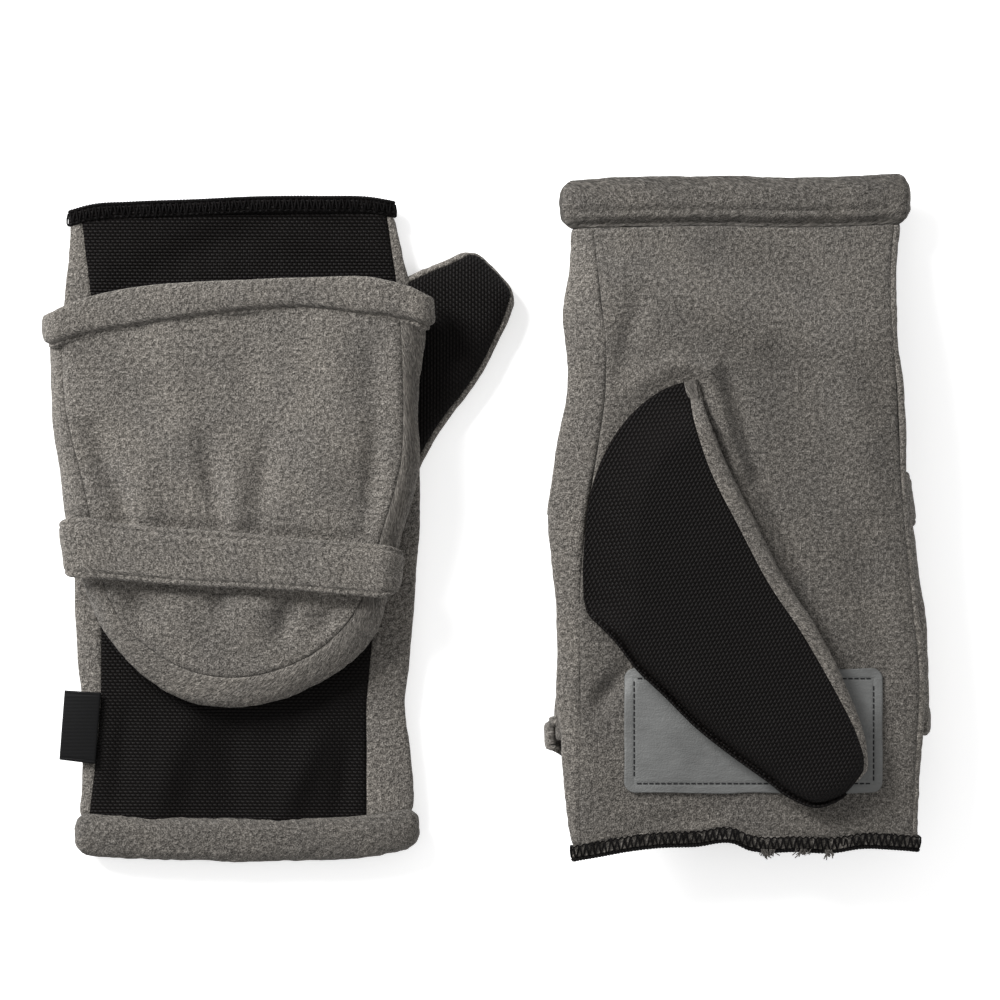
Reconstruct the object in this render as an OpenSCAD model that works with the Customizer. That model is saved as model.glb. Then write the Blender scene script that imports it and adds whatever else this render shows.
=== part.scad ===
// Convertible flip-top mittens: a pair laid flat, the left one back up and the right one palm up.
// Each mitten is designed once in its own frame (thumb at +X, fingers at +Y, palm down, hood tucked
// under its strap). The left mitten keeps that frame. The right one is its mirror image, turned over.

/* [Glove body] */
// Length from the wrist edge to the finger opening
glove_len = 200; // [190:1:210]
// Half width of the glove at its waist, on the little-finger side
waist_out = 48; // [46:0.5:50]
// Half width of the glove at its waist, on the thumb side
waist_thumb = 50; // [48:0.5:52]
// Extra half width at the knuckles
knuckle_flare = 5; // [4:0.5:6]

/* [Fabric] */
// Thickness of the fleece
fleece_t = 1.8; // [1.6:0.1:1.8]
// Thickness of the stretch knit on the back and the thumb
knit_t = 1.0; // [0.8:0.1:1.0]
// Thickness of the synthetic leather grip patch
patch_t = 0.8; // [0.7:0.1:0.8]
// Height of the space for the hand between palm and back
hand_gap = 4.6; // [4.6:0.1:5.2]
// Clearance between pieces that move past each other
move_gap = 0.3; // [0.3:0.05:0.4]
// Seam gap between pieces that are sewn edge to edge
seam_gap = 0.1; // [0.05:0.05:0.15]

/* [Hood] */
// Half width of the hood where its tip starts to round
hood_half = 54; // [53.5:0.1:54.5]
// Extra half width at the mouth
hood_flare = 3; // [2.5:0.1:3.5]
// Length of the rounded tip
hood_tip = 72.5; // [68:0.5:74]
// Width of the fleece border around the front
hood_border_w = 8; // [7:0.5:9]
// Width of the hem at the mouth
hood_hem_w = 10; // [9:0.5:11]

/* [Strap] */
// Height of the strap at its outer end
strap_w_out = 18; // [16:0.5:19]
// Height of the strap at its thumb end
strap_w_thumb = 16; // [14:0.5:17]
// Drop of the strap from its outer end to its thumb end
strap_drop = 7; // [4:0.5:8]

/* [Grip patch] */
// Length of the patch across the palm
patch_len = 77; // [70:1:78]
// Width of the patch along the palm
patch_wid = 37; // [34:1:38]
// Pitch of the stitches around the patch
stitch_pitch = 2.5; // [2.2:0.1:3.5]

/* [Side label] */
// Length of the label along the seam
label_len = 21; // [18:0.5:22]
// Width of the label
label_wid = 12; // [10:0.5:13]

/* [Placing of the pair] */
// Distance between the centre lines of the two mittens
pair_pitch = 150; // [150:1:170]
// Shift of each mitten along its length
pair_shift = 1.9; // [0:0.1:3]

/* [Hidden] */
$fn = 48;

fleece_colour = "#7b7771";
knit_colour = "#1d1b1b";
patch_colour = "#6c6f73";
thread_colour = "#3c3e42";
binding_colour = "#161515";

// Levels, from the table up through a mitten that lies palm down
palm_z = patch_t;
hand_z = palm_z + fleece_t;
back_z = hand_z + hand_gap;
top_z = back_z + knit_t;
side_r = (top_z - palm_z) / 2;
side_in_r = hand_gap / 2;
side_z = palm_z + side_r;
hand_mid_z = hand_z + side_in_r;
hood_z = top_z + move_gap;
hinge_z = hood_z + fleece_t / 2;
hood_in_z = hood_z + fleece_t;
// With the hood closed, its front has to pass below the patch
hood_top_in_z = 2 * hinge_z + move_gap + 0.1;
hood_top_z = hood_top_in_z + fleece_t;
strap_z = hood_top_z + move_gap;
stack_h = strap_z + fleece_t;

// Stations along the glove
wrist_y = -glove_len / 2 + 0.5;
finger_y = glove_len / 2 + 0.5;
hem_w = 13;
binding_w = 4.5;
body_y0 = wrist_y + hem_w + seam_gap;
body_y1 = finger_y - binding_w - seam_gap;
knuckle_y = 65;
waist_y = -52;
stations = 11;
station_y = [for (k = [0 : stations - 1]) body_y0 + (body_y1 - body_y0) * k / (stations - 1)];

// Edges of the glove and of its panels, as a place across for each place along
thumb_edge = [
  [body_y0, waist_thumb + 1.5], [waist_y, waist_thumb], [0, waist_thumb + 3.4],
  [40, waist_thumb + 4], [knuckle_y + 5, waist_thumb + 2.6], [body_y1, waist_thumb - 2]
];
outer_edge = [
  [body_y0, -waist_out - 0.5], [waist_y, -waist_out], [-16, -waist_out - 2],
  [40, -waist_out - knuckle_flare + 0.4], [knuckle_y, -waist_out - knuckle_flare - 0.4],
  [body_y1, -waist_out - 3.8]
];
back_thumb_seam = [[body_y0, 38], [-45, 38.5], [0, 41.5], [40, 45.5], [72, 47], [body_y1, 43.9]];
back_outer_seam = [[body_y0, -44.5], [-45, -42.2], [20, -43.5], [72, -46], [body_y1, -47]];
palm_thumb_seam = [[body_y0, 44.4], [-45, 41], [0, 45.4], [40, 47], [72, 47], [body_y1, 43.9]];

function thumb_x(y) = lookup(y, thumb_edge);
function outer_x(y) = lookup(y, outer_edge);
function palm_outer_x(y) = outer_x(y) + side_r + 0.5;

// Outline of a panel between two edges, given as a list of places across at the stations
function strip(right, left) = concat(
  [for (k = [0 : stations - 1]) [right[k], station_y[k]]],
  [for (k = [stations - 1 : -1 : 0]) [left[k], station_y[k]]]
);
function along(table, shift = 0) = [for (y = station_y) lookup(y, table) + shift];

// The outline of a polygon that runs anticlockwise, moved inward by d
function unit(v) = v / norm(v);
function inward(a, b) = let (u = unit(b - a)) [-u[1], u[0]];
function inset_corner(a, b, c, d) =
  let (m = inward(a, b), n = inward(b, c)) b + d * (m + n) / (1 + m * n);
function inset(pts, d) = let (n = len(pts)) [
  for (i = [0 : n - 1]) inset_corner(pts[(i + n - 1) % n], pts[i], pts[(i + 1) % n], d)
];

module plate(pts, z0, z1) {
  translate([0, 0, z0]) linear_extrude(z1 - z0) polygon(pts);
}

// A band inside an outline that is left open along one side of it
module open_band(outer, inner, z0, z1) {
  translate([0, 0, z0]) linear_extrude(z1 - z0) difference() {
    polygon(outer);
    polygon(inner);
  }
}

// A solid skinned over closed rings of n points each, which run anticlockwise seen from the start.
// A ring is a bent band: point j on its outside faces point n - 1 - j on its inside, so each end is
// closed by a strip of flat faces.
function skin_faces(rings, n) = let (last = (rings - 1) * n) concat(
  [for (j = [0 : n / 2 - 2]) [n - 1 - j, n - 2 - j, j + 1, j]],
  [for (j = [0 : n / 2 - 2]) [last + j, last + j + 1, last + n - 2 - j, last + n - 1 - j]],
  [for (i = [0 : rings - 2], j = [0 : n - 1]) let (k = (j + 1) % n)
    [i * n + j, i * n + k, (i + 1) * n + j]],
  [for (i = [0 : rings - 2], j = [0 : n - 1]) let (k = (j + 1) % n)
    [i * n + k, (i + 1) * n + k, (i + 1) * n + j]]
);

// Side gusset: a fold of fleece from the palm seam, round the side, to the back seam
arc_steps = 6;
function arc(cx, cz, r, side, from, to) = [
  for (k = [0 : arc_steps]) let (a = from + (to - from) * k / arc_steps)
    [cx + side * r * cos(a), cz + r * sin(a)]
];
function gusset_section(edge, palm_x, back_x, side) = let (cx = edge - side * side_r) concat(
  [[palm_x, palm_z]],
  arc(cx, side_z, side_r, side, -90, 90),
  [[back_x, top_z], [back_x, back_z]],
  arc(cx, hand_mid_z, side_in_r, side, 90, -90),
  [[palm_x, hand_z]]
);
module gusset(edges, palm_xs, back_xs, side) {
  order = side > 0 ? [0 : stations - 1] : [stations - 1 : -1 : 0];
  rings = [for (k = order) gusset_section(edges[k], palm_xs[k], back_xs[k], side)];
  ys = [for (k = order) station_y[k]];
  n = len(rings[0]);
  points = [for (i = [0 : stations - 1], p = rings[i]) [p[0], ys[i], p[1]]];
  polyhedron(points, skin_faces(stations, n), convexity = 6);
}

// A ring that follows a flat loop with round ends; the profile gives the distance from the loop's
// middle line and the place along the glove
module loop_ring(x0, x1, z, profile) {
  bar = x1 - x0;
  translate([x1, 0, z]) rotate([-90, 0, 0]) rotate([0, 0, -90]) rotate_extrude(angle = 180)
    polygon(profile);
  translate([x0, 0, z]) rotate([-90, 0, 0]) rotate([0, 0, 90]) rotate_extrude(angle = 180)
    polygon(profile);
  translate([x0, 0, z]) rotate([0, 90, 0]) linear_extrude(bar) polygon(profile);
  translate([x1, 0, z]) rotate([0, -90, 0]) linear_extrude(bar) polygon(profile);
}

// Glove body ------------------------------------------------------------------------------------

// The hole in the right palm that the folded thumb grows from
thumb_hole = [[20, -30], [34, -23], [41, -8], [43, 16], [38, 22], [26, 6], [20, -12]];

module palm_panel(with_hole) {
  pts = strip(along(palm_thumb_seam, -seam_gap), [for (y = station_y) palm_outer_x(y)]);
  difference() {
    plate(pts, palm_z, hand_z);
    if (with_hole) plate(thumb_hole, palm_z - 1, hand_z + 1);
  }
}

module back_panel() {
  plate(strip(along(back_thumb_seam, -seam_gap), along(back_outer_seam, seam_gap)), back_z, top_z);
}

// The window lets the hand into a thumb that is sewn on at the side
window_y = [22, 64];
module thumb_side_gusset(with_window) {
  difference() {
    gusset(along(thumb_edge), along(palm_thumb_seam), along(back_thumb_seam), 1);
    if (with_window)
      translate([waist_thumb - 1, window_y[0], hand_z + 0.2])
        cube([12, window_y[1] - window_y[0], hand_gap - 0.4]);
  }
}

module outer_side_gusset() {
  palm_xs = [for (y = station_y) palm_outer_x(y) - seam_gap];
  gusset(along(outer_edge), palm_xs, along(back_outer_seam), -1);
}

hem_t = hand_mid_z - side_in_r;
module wrist_hem() {
  r0 = side_in_r;
  r1 = side_in_r + hem_t;
  y0 = wrist_y;
  y1 = wrist_y + hem_w;
  loop_ring(-waist_out + 2.2, waist_thumb - 0.3, hand_mid_z, [
    [r0, y0 + 1], [r0 + 0.8, y0], [r1 - 0.9, y0 + 0.5], [r1 - 0.2, y0 + 2], [r1, y0 + 4],
    [r1, y1 - 4], [r1 - 0.3, y1 - 1.6], [r1 - 1, y1], [r0, y1]
  ]);
}

module finger_binding() {
  r0 = side_in_r;
  r1 = top_z - hand_mid_z;
  y0 = finger_y - binding_w;
  loop_ring(outer_x(body_y1) + side_r, thumb_x(body_y1) - side_r, hand_mid_z, [
    [r0, y0], [r1, y0], [r1, finger_y - 1.2], [r1 - 0.3, finger_y], [r0 + 0.3, finger_y],
    [r0, finger_y - 1.2]
  ]);
}

// Strap: a bar across the hood, with a leg down to the side of the glove at each end
strap_y = 4;
strap_x0 = -hood_half - 1.3;
strap_x1 = hood_half - 0.9;
module strap() {
  low_out = strap_y - strap_w_out;
  low_thumb = strap_y - strap_drop - strap_w_thumb;
  plate([
    [strap_x0, low_out], [strap_x1, low_thumb], [strap_x1, low_thumb + strap_w_thumb],
    [strap_x0, strap_y]
  ], strap_z, stack_h);
  translate([strap_x0, low_out, side_z - 1]) cube([fleece_t, strap_w_out, strap_z - side_z + 1]);
  translate([strap_x0, low_out, side_z - 1])
    cube([outer_x(strap_y) - seam_gap - strap_x0, strap_w_out, fleece_t]);
  translate([strap_x1 - fleece_t, low_thumb, top_z - move_gap])
    cube([fleece_t, strap_w_thumb, strap_z - top_z + move_gap]);
}

// Grip patch, with a groove that holds the stitches
patch_at = [-3.9, 63.9];
patch_inset = 3;
groove_w = 0.9;
groove_d = 0.4;
module patch_frame(w, z0, z1) {
  x = patch_len / 2 - patch_inset;
  y = patch_wid / 2 - patch_inset;
  translate([patch_at[0], patch_at[1], z0]) linear_extrude(z1 - z0) difference() {
    square([2 * x + w, 2 * y + w], center = true);
    square([2 * x - w, 2 * y - w], center = true);
  }
}

module grip_patch() {
  corner = 3;
  x = patch_len / 2 - corner;
  y = patch_wid / 2 - corner;
  difference() {
    translate([patch_at[0], patch_at[1], 0]) linear_extrude(palm_z - 0.05) union() {
      square([2 * x, patch_wid], center = true);
      square([patch_len, 2 * y], center = true);
      for (sx = [-1, 1], sy = [-1, 1]) translate([sx * x, sy * y]) circle(corner);
    }
    patch_frame(groove_w, -1, groove_d);
  }
}

module patch_stitching() {
  x = patch_len / 2 - patch_inset;
  y = patch_wid / 2 - patch_inset;
  stitch = [stitch_pitch * 0.66, 0.5, 0.3];
  nx = floor(2 * x / stitch_pitch);
  ny = floor(2 * y / stitch_pitch);
  translate([patch_at[0], patch_at[1], 0.05]) {
    for (k = [0 : nx - 1], s = [-1, 1])
      translate([(k + 0.5 - nx / 2) * 2 * x / nx - stitch[0] / 2, s * y - stitch[1] / 2, 0])
        cube(stitch);
    for (k = [1 : ny - 2], s = [-1, 1])
      translate([s * x - stitch[1] / 2, (k + 0.5 - ny / 2) * 2 * y / ny - stitch[0] / 2, 0])
        cube([stitch[1], stitch[0], stitch[2]]);
  }
}

// Side label: a flap of woven tape, sewn into the back seam and lying over the gusset
label_x = -42.2;
label_y = -70;
label_t = 0.6;
module side_label() {
  translate([label_x - label_wid, label_y, top_z + move_gap])
    cube([label_wid, label_len, label_t]);
}

// Hood ------------------------------------------------------------------------------------------

// It lies flipped back over the glove, with its tip towards the wrist. It turns over the finger
// opening about a line across the knuckles.
hinge_y = 76;
hood_x = -0.5;
hood_y = 20;
hood_mouth_y = hinge_y - 0.5;
hood_side_y = hood_mouth_y - hood_hem_w - seam_gap;
tip_steps = 20;
function hood_half_at(y) = hood_half + hood_flare * (y - hood_y) / (hood_side_y - hood_y);
// Outline of the hood, moved inward by d and cut off at the place y along the glove
function hood_outline(d, y) = concat(
  [[hood_x - hood_half_at(y) + d, y]],
  [for (k = [0 : tip_steps]) let (a = -180 + 180 * k / tip_steps)
    [hood_x + (hood_half - d) * cos(a), hood_y + (hood_tip - d) * sin(a)]],
  [[hood_x + hood_half_at(y) - d, y]]
);

module hood_back() {
  plate(hood_outline(0, hood_mouth_y), hood_z, hood_in_z);
  open_band(hood_outline(0, hood_side_y), hood_outline(fleece_t, hood_side_y + 1),
    hood_in_z, hood_top_in_z - seam_gap);
}

module hood_border() {
  open_band(hood_outline(0, hood_side_y), hood_outline(hood_border_w, hood_side_y + 1),
    hood_top_in_z, hood_top_z);
}

module hood_front() {
  plate(hood_outline(hood_border_w + seam_gap, hood_side_y), hood_top_in_z, hood_top_z);
}

hood_hem_t = 3;
module hood_hem() {
  half = hood_half + hood_flare + 0.8;
  y0 = hood_side_y + seam_gap;
  z1 = hood_top_z + 0.9;
  z0 = z1 - hood_hem_t;
  mid = (hood_mouth_y + y0) / 2;
  translate([hood_x + half, 0, 0]) rotate([0, -90, 0]) linear_extrude(2 * half) polygon([
    [z0, y0], [z1 - 1, y0], [z1, y0 + 1.2], [z1, mid - 0.6], [z1 - 0.4, mid], [z1, mid + 0.6],
    [z1, hood_mouth_y - 1.2], [z1 - 1, hood_mouth_y], [z0, hood_mouth_y]
  ]);
  for (x = [-half, half - hood_hem_t])
    translate([hood_x + x, y0, hood_in_z + seam_gap])
      cube([hood_hem_t, hood_mouth_y - y0, z0 - hood_in_z - seam_gap]);
}

// Thumbs ----------------------------------------------------------------------------------------

// A thumb is a flat pocket: a fleece tray towards the palm and a knit lid, open at its root
thumb_depth = fleece_t + hand_gap - 0.2;

// The left thumb stands out from the side of the glove
side_thumb = [[54.4, 18], [69, 41], [81, 64], [82, 71], [71, 83], [67, 83.5], [54.4, 75.5]];
side_thumb_z = 0.4;
module side_thumb_front() {
  plate(side_thumb, side_thumb_z, side_thumb_z + fleece_t);
  difference() {
    plate(side_thumb, side_thumb_z + fleece_t, side_thumb_z + thumb_depth);
    plate(inset(side_thumb, fleece_t), side_thumb_z + fleece_t - 1, side_thumb_z + thumb_depth + 1);
    translate([54, 20.9, side_thumb_z + fleece_t]) cube([3, 52.6, thumb_depth]);
  }
}
module side_thumb_back() {
  z = side_thumb_z + thumb_depth + seam_gap;
  plate(side_thumb, z, z + knit_t);
}

// The right thumb lies folded across the palm, below it in the mitten's own frame
palm_thumb = [
  [13, -41], [30, -33], [40, -19], [45.5, 0], [46.5, 22], [42, 30], [24, 50], [4, 68], [-15, 82],
  [-24, 85], [-33, 80.5], [-38, 73], [-32, 50], [-14, 17], [2, -14], [10, -34]
];
palm_thumb_z = -0.4;
module palm_thumb_front() {
  z = palm_thumb_z;
  difference() {
    plate(palm_thumb, z - thumb_depth, z);
    plate(inset(palm_thumb, fleece_t), z - thumb_depth - 1, z - fleece_t);
    plate(thumb_hole, z - thumb_depth, z + 1);
  }
}
module palm_thumb_back() {
  z = palm_thumb_z - thumb_depth - seam_gap;
  plate(palm_thumb, z - knit_t, z);
}

// Placing ---------------------------------------------------------------------------------------

module left() {
  translate([-pair_pitch / 2, -pair_shift, 0]) children();
}
module right() {
  translate([pair_pitch / 2, pair_shift, stack_h]) rotate([180, 0, 0]) mirror([1, 0, 0]) children();
}

module left_palm_panel() { color(fleece_colour) left() palm_panel(false); }
module left_thumb_side_gusset() { color(fleece_colour) left() thumb_side_gusset(true); }
module left_outer_side_gusset() { color(fleece_colour) left() outer_side_gusset(); }
module left_back_panel() { color(knit_colour) left() back_panel(); }
module left_wrist_hem() { color(fleece_colour) left() wrist_hem(); }
module left_finger_binding() { color(binding_colour) left() finger_binding(); }
module left_strap() { color(fleece_colour) left() strap(); }
module left_grip_patch() { color(patch_colour) left() grip_patch(); }
module left_patch_stitching() { color(thread_colour) left() patch_stitching(); }
module left_side_label() { color(knit_colour) left() side_label(); }
module left_hood_back() { color(fleece_colour) left() hood_back(); }
module left_hood_border() { color(fleece_colour) left() hood_border(); }
module left_hood_front() { color(fleece_colour) left() hood_front(); }
module left_hood_hem() { color(fleece_colour) left() hood_hem(); }
module left_thumb_front() { color(fleece_colour) left() side_thumb_front(); }
module left_thumb_back() { color(knit_colour) left() side_thumb_back(); }

module right_palm_panel() { color(fleece_colour) right() palm_panel(true); }
module right_thumb_side_gusset() { color(fleece_colour) right() thumb_side_gusset(false); }
module right_outer_side_gusset() { color(fleece_colour) right() outer_side_gusset(); }
module right_back_panel() { color(knit_colour) right() back_panel(); }
module right_wrist_hem() { color(fleece_colour) right() wrist_hem(); }
module right_finger_binding() { color(binding_colour) right() finger_binding(); }
module right_strap() { color(fleece_colour) right() strap(); }
module right_grip_patch() { color(patch_colour) right() grip_patch(); }
module right_patch_stitching() { color(thread_colour) right() patch_stitching(); }
module right_hood_back() { color(fleece_colour) right() hood_back(); }
module right_hood_border() { color(fleece_colour) right() hood_border(); }
module right_hood_front() { color(fleece_colour) right() hood_front(); }
module right_hood_hem() { color(fleece_colour) right() hood_hem(); }
module right_thumb_front() { color(fleece_colour) right() palm_thumb_front(); }
module right_thumb_back() { color(knit_colour) right() palm_thumb_back(); }

left_palm_panel();
left_thumb_side_gusset();
left_outer_side_gusset();
left_back_panel();
left_wrist_hem();
left_finger_binding();
left_strap();
left_grip_patch();
left_patch_stitching();
left_side_label();
left_hood_back();
left_hood_border();
left_hood_front();
left_hood_hem();
left_thumb_front();
left_thumb_back();
right_palm_panel();
right_thumb_side_gusset();
right_outer_side_gusset();
right_back_panel();
right_wrist_hem();
right_finger_binding();
right_strap();
right_grip_patch();
right_patch_stitching();
right_hood_back();
right_hood_border();
right_hood_front();
right_hood_hem();
right_thumb_front();
right_thumb_back();
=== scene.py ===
"""Convertible flip-top mittens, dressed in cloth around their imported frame.

Every piece of cloth is worked out in the mitten's own millimetres: thumb towards +x, fingers towards +y,
palm down. A Placement then carries it to its place in the pair, in metres.
"""

import logging
import math
from collections.abc import Callable, Sequence
from dataclasses import dataclass, field
from enum import Enum

import bpy
import numpy as np
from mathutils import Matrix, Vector


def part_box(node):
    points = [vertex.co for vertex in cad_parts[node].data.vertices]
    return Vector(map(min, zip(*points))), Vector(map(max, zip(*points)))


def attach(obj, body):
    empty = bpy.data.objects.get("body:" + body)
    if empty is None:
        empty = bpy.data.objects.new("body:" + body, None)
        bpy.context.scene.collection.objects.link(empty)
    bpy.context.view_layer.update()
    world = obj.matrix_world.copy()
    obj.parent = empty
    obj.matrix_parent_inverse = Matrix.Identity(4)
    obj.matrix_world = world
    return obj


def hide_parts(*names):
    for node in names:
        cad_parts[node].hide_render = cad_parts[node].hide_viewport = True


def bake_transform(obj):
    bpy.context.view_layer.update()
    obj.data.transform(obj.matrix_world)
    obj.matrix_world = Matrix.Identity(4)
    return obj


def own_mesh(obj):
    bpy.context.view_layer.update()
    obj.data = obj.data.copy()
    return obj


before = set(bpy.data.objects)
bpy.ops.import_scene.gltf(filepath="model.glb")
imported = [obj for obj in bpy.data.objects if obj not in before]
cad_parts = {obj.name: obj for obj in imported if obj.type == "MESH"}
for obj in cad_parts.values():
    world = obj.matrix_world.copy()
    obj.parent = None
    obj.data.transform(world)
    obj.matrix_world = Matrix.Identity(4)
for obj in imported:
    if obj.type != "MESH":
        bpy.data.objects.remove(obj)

LOG = logging.getLogger("mittens")
MM = 0.001
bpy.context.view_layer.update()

Array = np.ndarray
Table = Sequence[tuple[float, float]]


# ---------------------------------------------------------------------------------------------------
# Lines, curves and noise
# ---------------------------------------------------------------------------------------------------


def smooth(table: Table, at: Array) -> Array:
    """Reads a smooth curve that passes through a table's points.

    Args:
        table: Places and the values there, with the places rising.
        at: The places to read.

    Returns:
        The value at each place; beyond the table's ends, its end value.
    """
    x = np.array([p[0] for p in table], float)
    y = np.array([p[1] for p in table], float)
    slope = np.gradient(y, x)
    at = np.clip(at, x[0], x[-1])
    k = np.clip(np.searchsorted(x, at) - 1, 0, len(x) - 2)
    h = x[k + 1] - x[k]
    t = (at - x[k]) / h
    rise = (2 * t**3 - 3 * t**2 + 1) * y[k] + (t**3 - 2 * t**2 + t) * h * slope[k]
    return rise + (3 * t**2 - 2 * t**3) * y[k + 1] + (t**3 - t**2) * h * slope[k + 1]


def run_of(line: Array) -> Array:
    """Distance along a line of points, from 0 at its first point."""
    steps = np.linalg.norm(np.diff(line, axis=0), axis=1)
    return np.concatenate([[0.0], np.cumsum(steps)])


def spline(points: Sequence[Sequence[float]], at: Array) -> Array:
    """Walks along a smooth curve through some points.

    Args:
        points: The points that the curve passes through.
        at: Shares of the curve's length, from 0 to 1.

    Returns:
        The point at each share, as rows.
    """
    pts = np.array(points, float)
    chord = run_of(pts)
    fine = np.linspace(0, chord[-1], 24 * len(pts))
    line = np.stack([smooth(list(zip(chord, col)), fine) for col in pts.T], axis=1)
    run = run_of(line)
    return np.stack([np.interp(at * run[-1], run, col) for col in line.T], axis=1)


def shares(length: float, step: float, fine: Sequence[float] = ()) -> Array:
    """Places for a sheet's lines: one each step, and closer ones by its ends and its seams.

    Args:
        length: Length of the side, in millimetres.
        step: Distance between lines on the open cloth.
        fine: Places of seams between the ends.

    Returns:
        The places as shares of the length, from 0 to 1.
    """
    near = np.array([0, 0.1, 0.3, 0.6, 1.0, 1.5])
    special = np.array([0, length, *fine])
    marks = np.linspace(0, length, max(4, round(length / step) + 1))
    clear = np.abs(marks[:, None] - special[None, :]).min(axis=1) > 0.6 * step + 0.4
    close = (special[:, None] + np.concatenate([-near, near])[None, :]).ravel()
    places = np.unique(np.round(np.concatenate([marks[clear], close]), 4))
    return places[(places >= 0) & (places <= length)] / length


def coons(first: Array, last: Array, low: Array, high: Array) -> Array:
    """Fills a four-sided outline with a grid of points.

    Args:
        first: The side where the row share is 0, as n points.
        last: The side where the row share is 1, as n points.
        low: The side where the column share is 0, as m points from first to last.
        high: The side where the column share is 1, as m points from first to last.

    Returns:
        A grid of m rows of n points.
    """
    u = run_of(first)[None, :, None] / run_of(first)[-1]
    v = run_of(low)[:, None, None] / run_of(low)[-1]
    ruled = (1 - v) * first[None] + v * last[None] + (1 - u) * low[:, None] + u * high[:, None]
    corners = (1 - v) * ((1 - u) * first[0] + u * first[-1]) + v * ((1 - u) * last[0] + u * last[-1])
    return ruled - corners


def distance_to(points: Array, line: Array) -> Array:
    """Shortest distance from each point to a line of points, both in the plan.

    Args:
        points: Places in the plan, one to a row.
        line: Points along the line, in order.

    Returns:
        The distance of each place.
    """
    a, b = line[:-1, :2], line[1:, :2]
    ab = b - a
    flat = points[..., :2].reshape(-1, 2)
    best = np.full(len(flat), 1e9)
    for p, d in zip(a, ab):
        t = np.clip(((flat - p) @ d) / max(d @ d, 1e-9), 0, 1)
        best = np.minimum(best, np.linalg.norm(flat - p - t[:, None] * d, axis=1))
    return best.reshape(points.shape[:-1])


def ease(t: Array) -> Array:
    """A smooth step from 0 at t = 0 to 1 at t = 1."""
    t = np.clip(t, 0, 1)
    return t * t * (3 - 2 * t)


def dome(share: Array, power: float) -> Array:
    """Height of a rounded edge: 0 at the rim, 1 where the share of its run reaches 1."""
    return (1 - (1 - np.clip(share, 0, 1)) ** power) ** (1 / power)


class Noise:
    """Smooth random heights from -1 to 1 over a plane, the same at every run."""

    COUNT = 128

    def __init__(self, seed: int) -> None:
        """Draws the lattice that the heights are read from."""
        self.lattice = np.random.default_rng(seed).uniform(-1, 1, (self.COUNT, self.COUNT))

    def pick(self, a: Array, b: Array) -> Array:
        """Heights at points of the lattice, which repeats past its edges."""
        return self.lattice[a % self.COUNT, b % self.COUNT]

    def at(self, u: Array, v: Array, size: float) -> Array:
        """Heights at places given in millimetres, for bumps of the given size.

        Args:
            u: Places along the first way.
            v: Places along the second way.
            size: Distance from one bump to the next.

        Returns:
            The height at each place.
        """
        x, y = u / size + 400, v / size + 400
        i, j = np.floor(x).astype(int), np.floor(y).astype(int)
        fx, fy = ease(x - i), ease(y - j)
        low = self.pick(i, j) * (1 - fx) + self.pick(i + 1, j) * fx
        high = self.pick(i, j + 1) * (1 - fx) + self.pick(i + 1, j + 1) * fx
        return low * (1 - fy) + high * fy


PILE = Noise(11)
SLACK = Noise(23)


@dataclass(frozen=True)
class Fold:
    """A soft ridge, or a valley where its height is negative, along a straight line in the plan."""

    start: tuple[float, float]
    end: tuple[float, float]
    width: float
    height: float

    def lift(self, x: Array, y: Array) -> Array:
        """How far the cloth stands up at each place.

        Args:
            x: Places across the mitten.
            y: Places along it.

        Returns:
            The rise at each place, below zero in a valley.
        """
        d = np.array(self.end) - np.array(self.start)
        t = ((x - self.start[0]) * d[0] + (y - self.start[1]) * d[1]) / (d @ d)
        near = np.clip(t, 0, 1)
        gap = np.hypot(x - self.start[0] - near * d[0], y - self.start[1] - near * d[1])
        return self.height * np.exp(-((gap / self.width) ** 2)) * (0.55 + 0.45 * np.sin(math.pi * near))


def folded(folds: Sequence[Fold], x: Array, y: Array) -> Array:
    """The folds' heights added up at each place."""
    return sum((f.lift(x, y) for f in folds), np.zeros_like(x))


# ---------------------------------------------------------------------------------------------------
# Cloth and thread as meshes
# ---------------------------------------------------------------------------------------------------


class Surface(Enum):
    """How much a cloth's surface stands up and down, in millimetres."""

    FLEECE = 0.2
    KNIT = 0.03
    SMOOTH = 0.0


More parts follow.
